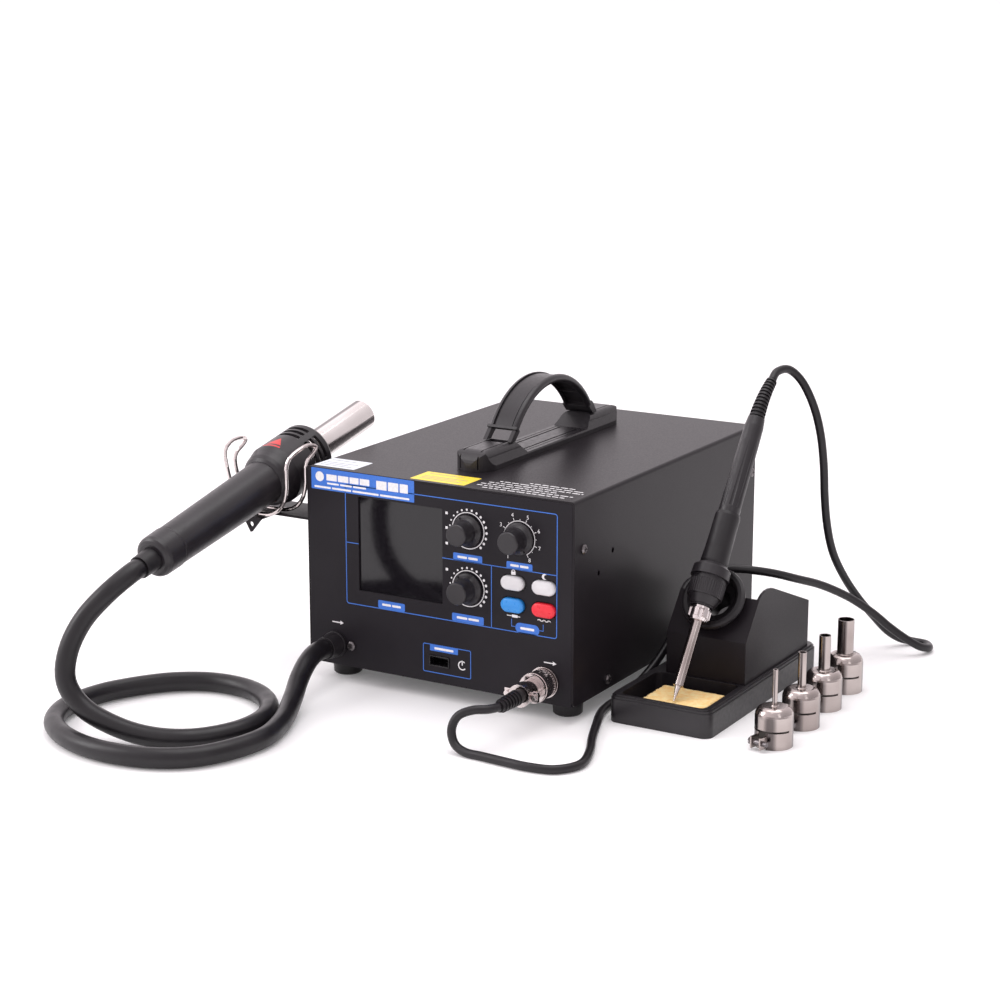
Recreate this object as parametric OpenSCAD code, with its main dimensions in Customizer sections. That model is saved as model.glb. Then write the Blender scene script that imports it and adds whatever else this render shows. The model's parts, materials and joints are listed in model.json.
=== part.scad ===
/* [Case] */
// Width of the case across the front
case_w = 187; // [180:1:200]
// Depth of the case, front wall to rear wall
case_d = 250; // [240:1:270]
// Height of the case without its feet
case_h = 124; // [122:1:130]
// Thickness of the bent steel sheet
sheet = 1.2; // [0.8:0.1:1.5]
// Height of the rubber feet
foot_h = 11; // [8:1:14]
// Radius of the rubber feet
foot_r = 9.5; // [8:0.5:11]

/* [Front panel] */
// Width of the display opening
window_w = 60; // [50:1:60]
// Height of the display opening
window_h = 59; // [50:1:59]
// Radius of the knob caps
knob_r = 6.8; // [6:0.1:7.5]
// How far the knobs stand out of the panel
knob_len = 14.6; // [12:0.2:16]
// Width of the oval push buttons
button_w = 15.8; // [15:0.2:17]
// Height of the oval push buttons
button_h = 8.8; // [8:0.2:10]
// How far a button travels
button_travel = 1.5; // [1:0.1:1.5]

/* [Carrying handle] */
// Width of the handle base
base_w = 26; // [24:1:28]
// Width of the handle bow
bow_w = 20; // [18:1:22]
// Radius of the bow, along its outer face
bow_r = 61; // [58:1:62]

/* [Air gun] */
// Tilt of the resting gun above level
gun_tilt = 12; // [11:0.5:13]
// Radius of the steel air tube
tube_r = 10.3; // [10:0.1:11]
// Radius of the slotted head
head_r = 19.5; // [18:0.5:20]
// Radius of the air hose
hose_r = 6; // [5:0.5:6.5]

/* [Soldering iron] */
// Angle of the iron above level
iron_tilt = 54.5; // [54:0.5:55]
// Radius of the tip sleeve
sleeve_r = 3.2; // [2.8:0.1:3.4]
// Radius of the iron's lead
lead_r = 2.6; // [2:0.1:3]

/* [Stand and nozzles] */
// Width of the stand's base
stand_w = 66; // [64:1:70]
// Length of the stand's base
stand_l = 158; // [150:1:170]
// Height of the stand's base
stand_h = 17; // [15:1:19]
// Outer radius of a nozzle's cup
cup_r = 11.2; // [11:0.1:12]
// Height of a nozzle's cup
cup_h = 23.5; // [22:0.5:26]

/* [Hidden] */

// Where the middle of the case's front stands in the set, whose origin is under its own middle
station_x = -29;
station_y = -66;

// Case
gap = 0.1;
case_top = foot_h + case_h;
inner_w = case_w - 2 * (sheet + gap);
wall_h = case_h - sheet - gap;
side_x = case_w / 2;
flange_d = 14;
side_screws = [[10.8, 105], [42.3, 17], [208, 17], [244, 104]];
screw_r = 1.45;
screw_hole_r = 1.6;
bracket_holes = [[30, 86], [47.5, 96]];
foot_x = 79;
foot_ys = [20, 230];

// Front panel: the places of its fittings, as x and height
knob_xy = [[22, 109], [22, 73.5], [57, 109]];
lock_at = [53, 81.6];
sleep_at = [74, 81.6];
iron_power_at = [53, 68];
air_power_at = [74, 68];
window_mid = [-26, 90.5];
port_mid = [1.5, 24.8];
port_w = 14;
port_h = 6.6;
socket_at = [74.7, 24.3];
outlet_at = [-74, 24.2];
outlet_len = 12;
panel_screw_at = [-62.5, 24.5];
socket_r = 7.6;
spindle_r = 3;
skirt_r = 9.7;
running = 0.05;
board_y = 14;

// Rear panel
inlet_mid = [-55, 62];
inlet_w = 27;
inlet_h = 46;
rocker_z = 77;
rocker_tilt = 8;

// Carrying handle
handle_y0 = 36;
handle_y1 = 214;
handle_screw_ys = [52, 198];
nose_round = 9;
base_round = 4.5;
base_lean = 2;
bow_mid = [126.5, 119.5];
bow_t = 5.3;
bow_half = 55;
boss_h = 12.5;
rail_h = 4;

// Air gun, measured along its axis from the tail of the handle
gun_tail = [-129, -107.4, 96];
head_s = 112;
head_end = 162;
tube_end = 225;
tail_r = 12.8;
nose_r = 14.2;
cuff_len = 12;
cuff_r = 7.4;

// Cradle and bracket
wire_r = 1.3;
shelf_z = 99.6;
bracket_t = 1.5;
front_wire_y = -3;
rear_wire_y = 12;

// Soldering iron, measured along its axis from the tip
tip_at = [143.6, 31.1, 15.1];
relief_s = 184;
relief_len = 29;
relief_bend = 24;
relief_steps = 12;

// Plug
plug_len = 53;

// Stand
stand_mid_x = 139.5;
stand_y = 18.5;
holder_x = 143.6;
holder_w = 52;
slope_low = [73, 43];
slope_high = [91, 65.5];
bell_up = 22.9;
bell_out = 8.3;
bell_r = 20;
holder_t = 1.5;

// Nozzles
nozzle_xy = [[207.3, 31.4], [207.5, 69.5], [205.8, 107.2], [204, 144.5]];
cup_t = 0.6;
cup_wall = 17.6;
dome_w = 4.5;
pipe_top = 45;
slot_z = 10;
ear_turn = -104;

// One link of the bent strain relief: the turn and place of step k along its arc
function relief_turn(k) = relief_bend * k / relief_steps;
function relief_place(k) = k == 0 ? [0, 0] :
    let (a = relief_turn(k - 0.5), d = relief_len / relief_steps)
    relief_place(k - 1) + d * [sin(a), cos(a)];

// A point beyond the strain relief's end
function relief_end(d) =
    let (
        a = relief_bend,
        side = relief_place(relief_steps)[0] + d * sin(a),
        out = relief_s + relief_place(relief_steps)[1] + d * cos(a)
    )
    tip_at + out * [0, cos(iron_tilt), sin(iron_tilt)] + side * [0, sin(iron_tilt), -cos(iron_tilt)];

// A point on the gun's axis
function along_gun_at(s) = gun_tail + s * [0, cos(gun_tilt), sin(gun_tilt)];

// Route of the air hose, from the panel outlet to the gun's cuff
hose_route = [
    [-74, -12, 24.2], [-74, -22, 24.2], [-72, -34, 21.5], [-68, -48, 16], [-61, -64, 10.5],
    [-53, -82, 7], [-46, -100, 6], [-41, -122, 6], [-45, -146, 6], [-56, -167, 6],
    [-75, -180, 6], [-99, -185, 6], [-123, -183, 6], [-146, -174, 6], [-164, -159, 6],
    [-174, -137, 6], [-173, -110, 6], [-164, -88, 6], [-149, -68, 6], [-128, -56, 6],
    [-104, -55, 6], [-84, -63, 6], [-68, -79, 6], [-60, -99, 6], [-62, -123, 6],
    [-75, -144, 6], [-96, -154, 6.5], [-117, -160, 11], [-137, -164, 20], [-148, -165, 34],
    [-149, -161, 51], [-144, -153, 68], [-135, -143, 82], along_gun_at(-22), along_gun_at(-12.4)
];
// Route of the iron's lead, from its strain relief to the boot of its plug
lead_route = [
    relief_end(0.4), relief_end(9), [147, 177.5, 189], [153, 185, 180.5], [159, 190, 165],
    [163, 193, 147], [165, 195, 127], [166, 196, 106], [168, 197, 87], [171, 201, 69],
    [176, 209, 52], [182.5, 219, 36], [189, 229, 23], [195, 238, 12], [201, 246, 5.4],
    [208, 252, 2.8], [217.5, 251, 2.7], [222.5, 242.5, 3.2], [219.5, 233.5, 6], [212, 227, 12],
    [203, 221, 20], [194, 213.5, 30], [183, 200, 42], [172, 181, 53], [163, 162, 60.5],
    [154, 148, 66], [144, 138, 69], [132.5, 131, 70], [121, 126, 68.2], [113, 121, 61.5],
    [109.5, 115.5, 50], [107.5, 109.5, 38], [105.5, 101, 27], [103, 88, 16.5], [100.5, 72, 8.5],
    [98, 55, 3.6], [97, 38, 2.6], [100, 22, 2.6], [107, 4, 2.6], [116, -18, 2.6],
    [126, -40, 2.6], [131, -60, 2.6], [123, -74, 2.6], [108, -78, 2.6], [92, -77.5, 2.6],
    [77, -76.5, 2.6], [66, -76, 2.7], [58, -74.3, 5.7], [54.4, -71.8, 13], [57, -69, 20.6],
    [64.5, -65.5, 24.3], [71.3, -60.5, 24.5], [74.7, -plug_len, 24.3]
];
// Route of the pump's tube inside the case
tube_route = [
    [30, 126, 50], [30, 112, 50], [22, 98, 46], [0, 88, 34], [-30, 76, 30], [-55, 56, 28],
    [-70, 34, 24.2], [-74, 18, 24.2], [-74, 8, 24.2]
];
// Route of the cradle's wire, from the bottom of the front bend round to its start
wire_route = [
    [-128, -3, 101], [-121, -3, 101.3], [-114, -3, 104.5], [-109, -3, 111], [-107.2, -3, 120],
    [-107.2, -3, 131], [-107, 0.5, 137.5], [-106.4, 9, 141], [-105.8, 18, 142.6],
    [-104.6, 24, 141.6], [-104, 25, 139.6], [-103.6, 21, 137.2], [-103.2, 15.5, 134.6],
    [-103, 12, 130], [-103, 12, 121], [-105, 12, 112], [-110, 12, 105], [-118, 12, 101.6],
    [-129, 12, 101], [-140, 12, 101.6], [-148, 12, 105], [-153, 12, 112], [-156, 12, 121],
    [-157.5, 12, 129], [-158, 15, 133.4], [-158.2, 20, 135.8], [-158.8, 25, 138.3],
    [-158.4, 24.5, 140.5], [-156.6, 18, 142.2], [-156, 9, 142.4], [-154.8, 0.5, 140],
    [-153.6, -3, 134], [-150.6, -3, 121], [-149, -3, 111], [-144, -3, 104.5], [-137, -3, 101.3],
    [-128.6, -3, 101]
];

// ---- Helpers ----

function unit(v) = v / norm(v);

// Heading of a route at one of its points
function heading(p, i) =
    i == 0 ? unit(p[1] - p[0]) :
    i == len(p) - 1 ? unit(p[i] - p[i - 1]) :
    unit(unit(p[i + 1] - p[i]) + unit(p[i] - p[i - 1]));

// Sideways vectors carried along the route without twisting
function carried(p, side, i = 0) =
    i == len(p) ? [] :
    let (t = heading(p, i), n = unit(side - (side * t) * t))
    concat([n], carried(p, n, i + 1));

// A point on the smooth curve through a route, between its points i and i + 1
function curve_point(p, i, f) =
    let (
        a = p[max(i - 1, 0)], b = p[i], c = p[i + 1], d = p[min(i + 2, len(p) - 1)]
    )
    0.5 * (2 * b + (c - a) * f + (2 * a - 5 * b + 4 * c - d) * f * f
        + (3 * b - a - 3 * c + d) * f * f * f);

function smooth(p, steps) = concat(
    [for (i = [0 : len(p) - 2], k = [0 : steps - 1]) curve_point(p, i, k / steps)],
    [p[len(p) - 1]]);

// A round tube swept along a route
module swept(p, r, n, side = [0, 0, 1]) {
    frames = carried(p, side);
    rings = [for (i = [0 : len(p) - 1], k = [0 : n - 1])
        let (t = heading(p, i), u = frames[i], v = cross(t, u), a = 360 * k / n)
        p[i] + r * (cos(a) * u + sin(a) * v)];
    walls = [for (i = [0 : len(p) - 2], k = [0 : n - 1], half = [0, 1])
        let (a = i * n + k, b = i * n + (k + 1) % n, c = b + n, d = a + n)
        half == 0 ? [a, d, c] : [a, c, b]];
    start_cap = [for (k = [0 : n - 1]) k];
    end_cap = [for (k = [0 : n - 1]) len(p) * n - 1 - k];
    polyhedron(rings, concat(walls, [start_cap, end_cap]), 4);
}

// Points of an elliptical bend, from one angle to another
function bend(mid, r, from, to, ry = 0, n = 8) = [for (i = [0 : n]) let (a = from + (to - from) * i / n)
    [mid[0] + r * cos(a), mid[1] + (ry == 0 ? r : ry) * sin(a)]];

module at_station() translate([station_x, station_y, 0]) children();

module block(low, high) translate(low) cube(high - low);

// A flat outline in x and z, made thick from y0 backwards
module along_y(y0, len) translate([0, y0 + len, 0]) rotate([90, 0, 0]) linear_extrude(len) children();

// A flat outline in y and z, made thick from x0 to the right
module along_x(x0, len) translate([x0, 0, 0]) rotate([90, 0, 90]) linear_extrude(len) children();

// A cylinder along y from y0 to y1
module rod_y(y0, y1, r, sides = 48) translate([0, y1, 0]) rotate([90, 0, 0]) cylinder(y1 - y0, r, r, $fn = sides);

// A cylinder along x from x0 to x1
module rod_x(x0, x1, r) translate([x0, 0, 0]) rotate([0, 90, 0]) cylinder(x1 - x0, r, r, $fn = 32);

module stadium(w, h) {
    square([w - h, h], center = true);
    for (s = [-1, 1]) translate([s * (w - h) / 2, 0]) circle(h / 2, $fn = 48);
}

module round_rect(w, h, r) {
    square([w - 2 * r, h], center = true);
    square([w, h - 2 * r], center = true);
    for (x = [-1, 1], y = [-1, 1]) translate([x * (w / 2 - r), y * (h / 2 - r)]) circle(r, $fn = 48);
}

module on_panel(at, y = 0) translate([at[0], y, at[1]]) children();

module mirrored_x() {
    children();
    mirror([1, 0, 0]) children();
}

// ---- Case ----

module chassis() color("#2b2a2e") at_station() difference() {
    union() {
        block([-inner_w / 2, 0, foot_h], [inner_w / 2, case_d, foot_h + sheet]);
        for (y = [0, case_d - sheet])
            block([-inner_w / 2, y, foot_h], [inner_w / 2, y + sheet, foot_h + wall_h]);
        mirrored_x() {
            for (y = [0, case_d - flange_d])
                block([inner_w / 2 - sheet, y, foot_h],
                    [inner_w / 2, y + flange_d, foot_h + wall_h - 8]);
            block([inner_w / 2 - sheet, 30, foot_h], [inner_w / 2, case_d - 30, foot_h + 13]);
        }
    }
    on_panel(window_mid) along_y(-1, 4) square([window_w, window_h], center = true);
    for (at = knob_xy) on_panel(at) rod_y(-1, 3, 3.6);
    for (at = [lock_at, sleep_at, iron_power_at, air_power_at])
        on_panel(at) along_y(-1, 4) stadium(button_w + 0.5, button_h + 0.5);
    on_panel(port_mid) along_y(-1, 4) square([port_w + 0.2, port_h + 0.2], center = true);
    on_panel(socket_at) rod_y(-1, 3, socket_r + 0.1);
    on_panel(outlet_at) rod_y(-1, 3, 7.1);
    on_panel(panel_screw_at) rod_y(-1, 3, screw_hole_r);
    on_panel(inlet_mid) along_y(case_d - 3, 4) square([inlet_w + 0.2, inlet_h + 0.2], center = true);
    // Cooling slots in the rear wall and the floor
    for (i = [0 : 8]) on_panel([5 + i * 8, 95]) along_y(case_d - 3, 4) stadium_up(3, 34);
    for (i = [0 : 8]) translate([-40 + i * 10, 120, foot_h - 1]) linear_extrude(4)
        rotate(90) stadium(40, 3.5);
    for (s = side_screws, x = [-1, 1])
        translate([0, s[0], s[1]]) rod_x(x > 0 ? 80 : -100, x > 0 ? 100 : -80, screw_hole_r);
    for (x = [-foot_x, foot_x], y = foot_ys) translate([x, y, foot_h - 1]) cylinder(4, 1.7, 1.7, $fn = 24);
    for (p = standoff_xy()) translate([p[0], p[1], foot_h - 1]) cylinder(4, 1.6, 1.6, $fn = 24);
}

module stadium_up(w, h) rotate(90) stadium(h, w);

module cover_outline(w, h, r) {
    translate([-w / 2, 0]) square([w, h - r]);
    translate([-w / 2 + r, 0]) square([w - 2 * r, h]);
    for (s = [-1, 1]) translate([s * (w / 2 - r), h - r]) circle(r, $fn = 48);
}

module top_cover() color("#34333a") at_station() difference() {
    translate([0, 0, foot_h]) along_y(0, case_d) difference() {
        cover_outline(case_w, case_h, 2.2);
        translate([-case_w / 2 + sheet, -1]) square([case_w - 2 * sheet, case_h - sheet + 1]);
    }
    for (s = concat(side_screws, bracket_holes), x = [-1, 1])
        translate([0, s[0], s[1]]) rod_x(x > 0 ? 80 : -100, x > 0 ? 100 : -80, screw_hole_r);
    for (y = handle_screw_ys) translate([0, y, case_top - 4]) cylinder(8, 1.7, 1.7, $fn = 32);
    // Rounded lower corners of the two side walls
    for (y = [0, case_d]) mirrored_x() translate([80, y, foot_h]) difference() {
        translate([0, -4, -1]) cube([20, 8, 5]);
        translate([-1, y == 0 ? 4 : -4, 4]) rotate([0, 90, 0]) cylinder(22, 4, 4, $fn = 48);
        translate([-1, y == 0 ? 4 : -12, -2]) cube([22, 8, 8]);
        translate([-1, -6, 4]) cube([22, 12, 8]);
    }
}

module rubber_feet() color("#1a1a1c") at_station()
    for (x = [-foot_x, foot_x], y = foot_ys) translate([x, y, 0]) difference() {
        union() {
            cylinder(1, foot_r - 1.6, foot_r - 0.6, $fn = 64);
            translate([0, 0, 1]) cylinder(foot_h - 1, foot_r - 0.6, foot_r, $fn = 64);
        }
        translate([0, 0, -1]) cylinder(5, 4, 4, $fn = 32);
        cylinder(foot_h + 1, 1.7, 1.7, $fn = 24);
    }

// A pan-head screw along z, its head above the face it holds
module pan_screw(len, head_r = 2.9) {
    difference() {
        union() {
            cylinder(0.9, head_r, head_r, $fn = 32);
            translate([0, 0, 0.9]) cylinder(0.8, head_r, head_r - 0.9, $fn = 32);
        }
        for (a = [0, 90]) rotate(a) translate([-head_r + 1, -0.35, 0.9]) cube([2 * head_r - 2, 0.7, 2]);
    }
    translate([0, 0, -len]) cylinder(len, screw_r, screw_r, $fn = 24);
}

module fixing_screws() color("#88878c") at_station() {
    for (s = side_screws) {
        translate([side_x, s[0], s[1]]) rotate([0, 90, 0]) pan_screw(5);
        translate([-side_x, s[0], s[1]]) rotate([0, -90, 0]) pan_screw(5);
    }
    for (s = bracket_holes)
        translate([-side_x - bracket_t, s[0], s[1]]) rotate([0, -90, 0]) pan_screw(6);
    on_panel(panel_screw_at) rotate([90, 0, 0]) pan_screw(6);
    // Under the feet, inside under the handle, and in the holder's floor
    for (x = [-foot_x, foot_x], y = foot_ys) translate([x, y, 4]) rotate([180, 0, 0]) pan_screw(11);
    for (y = handle_screw_ys) translate([0, y, case_top - sheet]) rotate([180, 0, 0]) pan_screw(6);
    for (x = [-1, 1]) translate([holder_x + x * 16, 82, stand_h + holder_t]) pan_screw(6);
}

// ---- Front panel fittings ----

module display_window() color("#0b0b0e") at_station()
    on_panel(window_mid) along_y(sheet, 1.5) round_rect(window_w + 8, window_h + 8, 1);

module display_board() color("#14532d") at_station() {
    block([-58, board_y, 54], [88, board_y + 1.6, 128]);
    // Display block behind the window
    block([-54, 4, 64], [2, board_y + 0.1, 118]);
    // Push switches under the buttons
    for (at = [lock_at, sleep_at, iron_power_at, air_power_at]) on_panel(at) {
        block([-3, 9.4, -3], [3, board_y + 0.1, 3]);
        rod_y(7.9, 9.5, 1.7, 24);
    }
    // Socket of the ribbon cable
    block([-40, board_y + 1.5, 70], [-20, board_y + 9, 76]);
}

module potentiometers() color("#9a9aa0") at_station() for (at = knob_xy) on_panel(at) {
    difference() {
        union() {
            rod_y(5, board_y, 8);
            rod_y(-2.6, 5, 3.5);
            rod_y(-2.2, 0, 5, 6);
        }
        rod_y(-4, 11, spindle_r + running);
    }
}

// A fluted knob on its spindle, along y
module knob(at, pointer) color("#1c1c1f") at_station() on_panel(at) {
    difference() {
        union() {
            translate([0, -1, 0]) rotate([90, 0, 0]) rotate_extrude($fn = 96) polygon([
                [0, 0], [skirt_r, 0], [skirt_r, 0.9], [skirt_r - 1.1, 2], [knob_r + 0.8, 3.4], [knob_r + 0.2, 5.4],
                [knob_r, knob_len - 1.9], [knob_r - 0.4, knob_len - 1.2], [knob_r - 1, knob_len - 1], [0, knob_len - 1]
            ]);
            // Pointer tab, from the body out over the skirt
            rotate([0, pointer, 0]) translate([-1.1, -4.6, 3]) cube([2.2, 3.4, skirt_r - 3.6]);
        }
        rod_y(-2.8, 0, 6.2);
    }
    rod_y(-knob_len + 3, 10.5, spindle_r);
}

module temp_knob_upper() knob(knob_xy[0], -30);
module temp_knob_lower() knob(knob_xy[1], -40);
module air_knob() knob(knob_xy[2], 150);

// An oval button with a low crown, a rim behind the panel and a stem to its switch
module button(at, tint) color(tint) at_station() on_panel(at) {
    along_y(-2.6, 4.1) stadium(button_w, button_h);
    along_y(-3.3, 0.7) stadium(button_w - 1.2, button_h - 1.2);
    along_y(-3.8, 0.5) stadium(button_w - 3.2, button_h - 3.2);
    along_y(1.5, 0.8) stadium(button_w + 2.4, button_h + 2);
    rod_y(2.3, 6.2, 1.9, 24);
}

module lock_button() button(lock_at, "#b9b9bd");
module sleep_button() button(sleep_at, "#b9b9bd");
module iron_power_button() button(iron_power_at, "#2f8fe0");
module air_power_button() button(air_power_at, "#e02a38");

module charging_port() color("#c6c6ca") at_station() on_panel(port_mid) {
    difference() {
        along_y(-0.6, 15) round_rect(port_w, port_h, 0.6);
        along_y(-1.6, 13) round_rect(port_w - 1.2, port_h - 1.2, 0.3);
    }
    along_y(5, 9) translate([0, 1]) square([11, 1.6], center = true);
}

module iron_socket() color("#cfcfd4") at_station() on_panel(socket_at) {
    difference() {
        union() {
            rod_y(-2.2, 0, 9.5, 64);
            rod_y(-8.4, 16, socket_r, 64);
            rod_y(sheet, 3.4, 9.8, 6);
        }
        rod_y(-9, -2.6, 6.3, 48);
    }
    for (i = [0 : 4]) rotate([0, 72 * i, 0]) translate([3.4, 0, 0]) rod_y(-7.6, -2.4, 0.7, 16);
}

module air_outlet() color("#1a1a1c") at_station() on_panel(outlet_at) {
    difference() {
        union() {
            rod_y(-2.4, 0, 8.3, 64);
            translate([0, -2.4, 0]) rotate([90, 0, 0]) cylinder(outlet_len - 2.4, 7.9, 7, $fn = 64);
            rod_y(0, 7.9, 7, 48);
            rod_y(sheet, 3, 9.4, 48);
        }
        rod_y(-outlet_len + 1.5, 9, 4, 32);
    }
}

module power_inlet() color("#18181a") at_station() on_panel(inlet_mid) {
    difference() {
        union() {
            along_y(case_d, 2.2) round_rect(inlet_w + 6, inlet_h + 5, 2);
            along_y(case_d - 22, 22) square([inlet_w, inlet_h], center = true);
        }
        // Well of the inlet and seat of the rocker
        translate([0, 0, -9]) along_y(case_d - 15, 20) round_rect(23.5, 17, 2.5);
        translate([0, 0, rocker_z - inlet_mid[1]]) along_y(case_d - 12, 16) square([21.2, 13.2], center = true);
        // Sockets of the rocker's pins
        translate([0, case_d - 3, rocker_z - inlet_mid[1]]) rod_x(-12.2, 12.2, 1.2 + running);
    }
    for (p = [[-7, 2.5], [7, 2.5], [0, -2.5]]) translate([p[0], 0, p[1] - 9])
        along_y(case_d - 18, 16) square([2, 4], center = true);
}

// A rocker with two sloping halves on a pin along x, resting with its lower half pushed in
module power_rocker() color("#b01822") at_station() translate([inlet_mid[0], case_d - 3, rocker_z]) {
    rotate([-rocker_tilt, 0, 0]) along_x(-10, 20) polygon([
        [-4, -3.6], [2.6, -5.6], [5.4, -5.6], [4.4, 0], [5.4, 5.6], [2.6, 5.6], [-4, 3.6]
    ]);
    rod_x(-12, 12, 1.2);
}

// ---- Carrying handle ----

module handle_base() color("#242327") at_station() difference() {
    intersection() {
        // Side view: two bosses with a low rail between them
        along_x(-base_w / 2, base_w) polygon(concat(
            [[handle_y0, case_top]],
            bend([handle_y0 + nose_round, case_top + boss_h - nose_round], nose_round, 180, 90),
            [[76, case_top + boss_h], [87, case_top + rail_h], [165, case_top + rail_h], [175, case_top + boss_h]],
            bend([handle_y1 - nose_round, case_top + boss_h - nose_round], nose_round, 90, 0),
            [[handle_y1, case_top]]
        ));
        // End view: sides that lean in to rounded shoulders
        along_y(0, case_d) polygon(concat(
            [[-base_w / 2, case_top], [-base_w / 2, case_top + 3]],
            bend([base_lean + base_round - base_w / 2, case_top + boss_h - base_round], base_round, 180, 90),
            bend([base_w / 2 - base_round - base_lean, case_top + boss_h - base_round], base_round, 90, 0),
            [[base_w / 2, case_top + 3], [base_w / 2, case_top]]
        ));
        translate([0, (handle_y0 + handle_y1) / 2, 0]) linear_extrude(200)
            round_rect(base_w, handle_y1 - handle_y0, 12.5);
    }
    // Grooves along the bosses, over their noses and along the rail
    for (x = [-6.2, 6.2]) {
        block([x - 0.4, 20, case_top + boss_h - 0.9], [x + 0.4, 72, case_top + 20]);
        block([x - 0.4, 181, case_top + boss_h - 0.9], [x + 0.4, 220, case_top + 20]);
        block([x - 0.4, 20, case_top + 1], [x + 0.4, handle_y0 + 2.4, case_top + 20]);
        block([x - 0.6, 90, case_top + rail_h - 0.8], [x + 0.6, 162, case_top + 8]);
    }
    for (x = [-9.4, 9.4]) block([x - 0.3, 90, case_top + rail_h - 0.6], [x + 0.3, 162, case_top + 8]);
    // Pocket under the end of the bow's strap
    block([-6.8, 68, case_top + 6], [6.8, 75, case_top + 20]);
    for (y = handle_screw_ys) translate([0, y, case_top - 1]) cylinder(8, 1.6, 1.6, $fn = 32);
}

module bow_section() {
    difference() {
        translate([bow_r - bow_t / 2, 0]) round_rect(bow_t, bow_w, 2.5);
        translate([bow_r - 0.9, -6]) square([2, 12]);
        for (y = [-6.5, 6.5]) translate([bow_r - 1.5, y - 0.5]) square([3, 1]);
        translate([bow_r - bow_t - 1, -7.4]) square([4, 14.8]);
    }
}

// Turns flat bow angles, measured from the apex, into the y-z plane
module on_bow() translate([0, bow_mid[0], bow_mid[1]]) rotate([0, -90, 0]) children();

module handle_bow() color("#1e1d21") at_station() {
    on_bow() rotate(-bow_half) rotate_extrude(angle = 2 * bow_half, $fn = 180) bow_section();
    // Ribs under the bow
    for (a = [-40, -20, 20, 40]) on_bow() rotate(a)
        block([bow_r - bow_t + 1, -0.6, -7.6], [bow_r - 1.9, 0.6, 7.6]);
    // Lip at the end of the strap
    on_bow() rotate(-bow_half) block([bow_r - 2.2, 0, -bow_w / 2 - 0.6], [bow_r + 0.4, 1.8, bow_w / 2 + 0.6]);
    // Front legs, apart, and rear foot, across the whole width
    mirrored_x() along_x(7.4, bow_w / 2 - 7.4) polygon([
        [70.5, case_top + boss_h], [76, case_top + boss_h], [81.6, 152.6], [78.5, 156], [76.8, 154.2]
    ]);
    along_x(-bow_w / 2, bow_w) polygon([
        [176.5, case_top + boss_h], [182, case_top + boss_h], [177, 154.4], [175, 156], [171.8, 152.4]
    ]);
}

// ---- Inside the case ----

function standoff_xy() = [for (x = [-40, 60], y = [44, 108]) [x, y]];

module board_standoffs() color("#b08d3c") at_station() for (p = standoff_xy())
    translate([p[0], p[1], foot_h + sheet]) {
        cylinder(10, 3, 3, $fn = 6);
        translate([0, 0, 10]) cylinder(1.6, 1.5, 1.5, $fn = 24);
        translate([0, 0, 11.6]) cylinder(1.8, 2.7, 2.7, $fn = 24);
    }

module main_board() color("#1b5e34") at_station() {
    z = foot_h + sheet + 10;
    difference() {
        block([-46, 38, z], [66, 114, z + 1.6]);
        for (p = standoff_xy()) translate([p[0], p[1], z - 1]) cylinder(4, 1.6, 1.6, $fn = 24);
    }
    // Heat sink with fins, capacitors, relay and controller
    for (i = [0 : 5]) block([-30 + i * 5, 94, z + 1.6], [-28 + i * 5, 110, z + 24]);
    block([-30, 92, z + 1.6], [-3, 94, z + 24]);
    for (p = [[10, 70], [24, 70]]) translate([p[0], p[1], z + 1.6]) cylinder(16, 5, 5, $fn = 32);
    block([36, 60, z + 1.6], [52, 80, z + 14]);
    block([-12, 50, z + 1.6], [8, 58, z + 4]);
}

module transformer_core() color("#5c5c60") at_station() translate([-52, 190, foot_h + sheet]) difference() {
    block([-32, -28, 0], [32, 28, 54]);
    block([-22, -40, 11], [-10, 40, 43]);
    block([10, -40, 11], [22, 40, 43]);
}

module transformer_coil() color("#b8642a") at_station() translate([-52, 190, foot_h + sheet]) difference() {
    block([-21.8, -36, 11.2], [21.8, 36, 42.8]);
    block([-10.2, -28.2, 0], [10.2, 28.2, 60]);
}

module pump_body() color("#3c3f45") at_station() {
    block([8, 134, 24], [80, 222, 66]);
    difference() {
        translate([44, 178, 66]) cylinder(12, 30, 28, $fn = 64);
        translate([44, 178, 76]) cylinder(4, 8, 8, $fn = 48);
    }
    translate([30, 0, 50]) rod_y(126, 134, 4, 32);
}

module pump_mounts() color("#161618") at_station() for (x = [18, 70], y = [146, 210])
    translate([x, y, foot_h + sheet]) difference() {
        cylinder(24 - foot_h - sheet, 6, 6, $fn = 48);
        translate([0, 0, 4]) rotate_extrude($fn = 48) translate([7, 0]) circle(2.4, $fn = 24);
    }

module air_tube() color("#d8d8d2") at_station() swept(smooth(tube_route, 2), 3.6, 10);

// ---- Air gun, bracket and cradle ----

module along_gun() at_station() translate(gun_tail) rotate([gun_tilt - 90, 0, 0]) children();

module gun_handle() color("#1d1d20") along_gun() rotate_extrude($fn = 96) polygon([
    [cuff_r + 0.05, 0], [tail_r - 3.4, 0], [tail_r - 1.6, 0.7], [tail_r - 0.5, 2], [tail_r, 4],
    [tail_r + 0.2, 16], [tail_r - 0.4, 17], [tail_r - 0.2, 18.4], [nose_r, head_s],
    [nose_r - 2.2, head_s], [nose_r - 2.2, head_s + 6], [nose_r - 4.2, head_s + 6],
    [tail_r - 2.2, 20], [tail_r - 2.2, 8], [cuff_r + 0.05, 8]
]);

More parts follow.
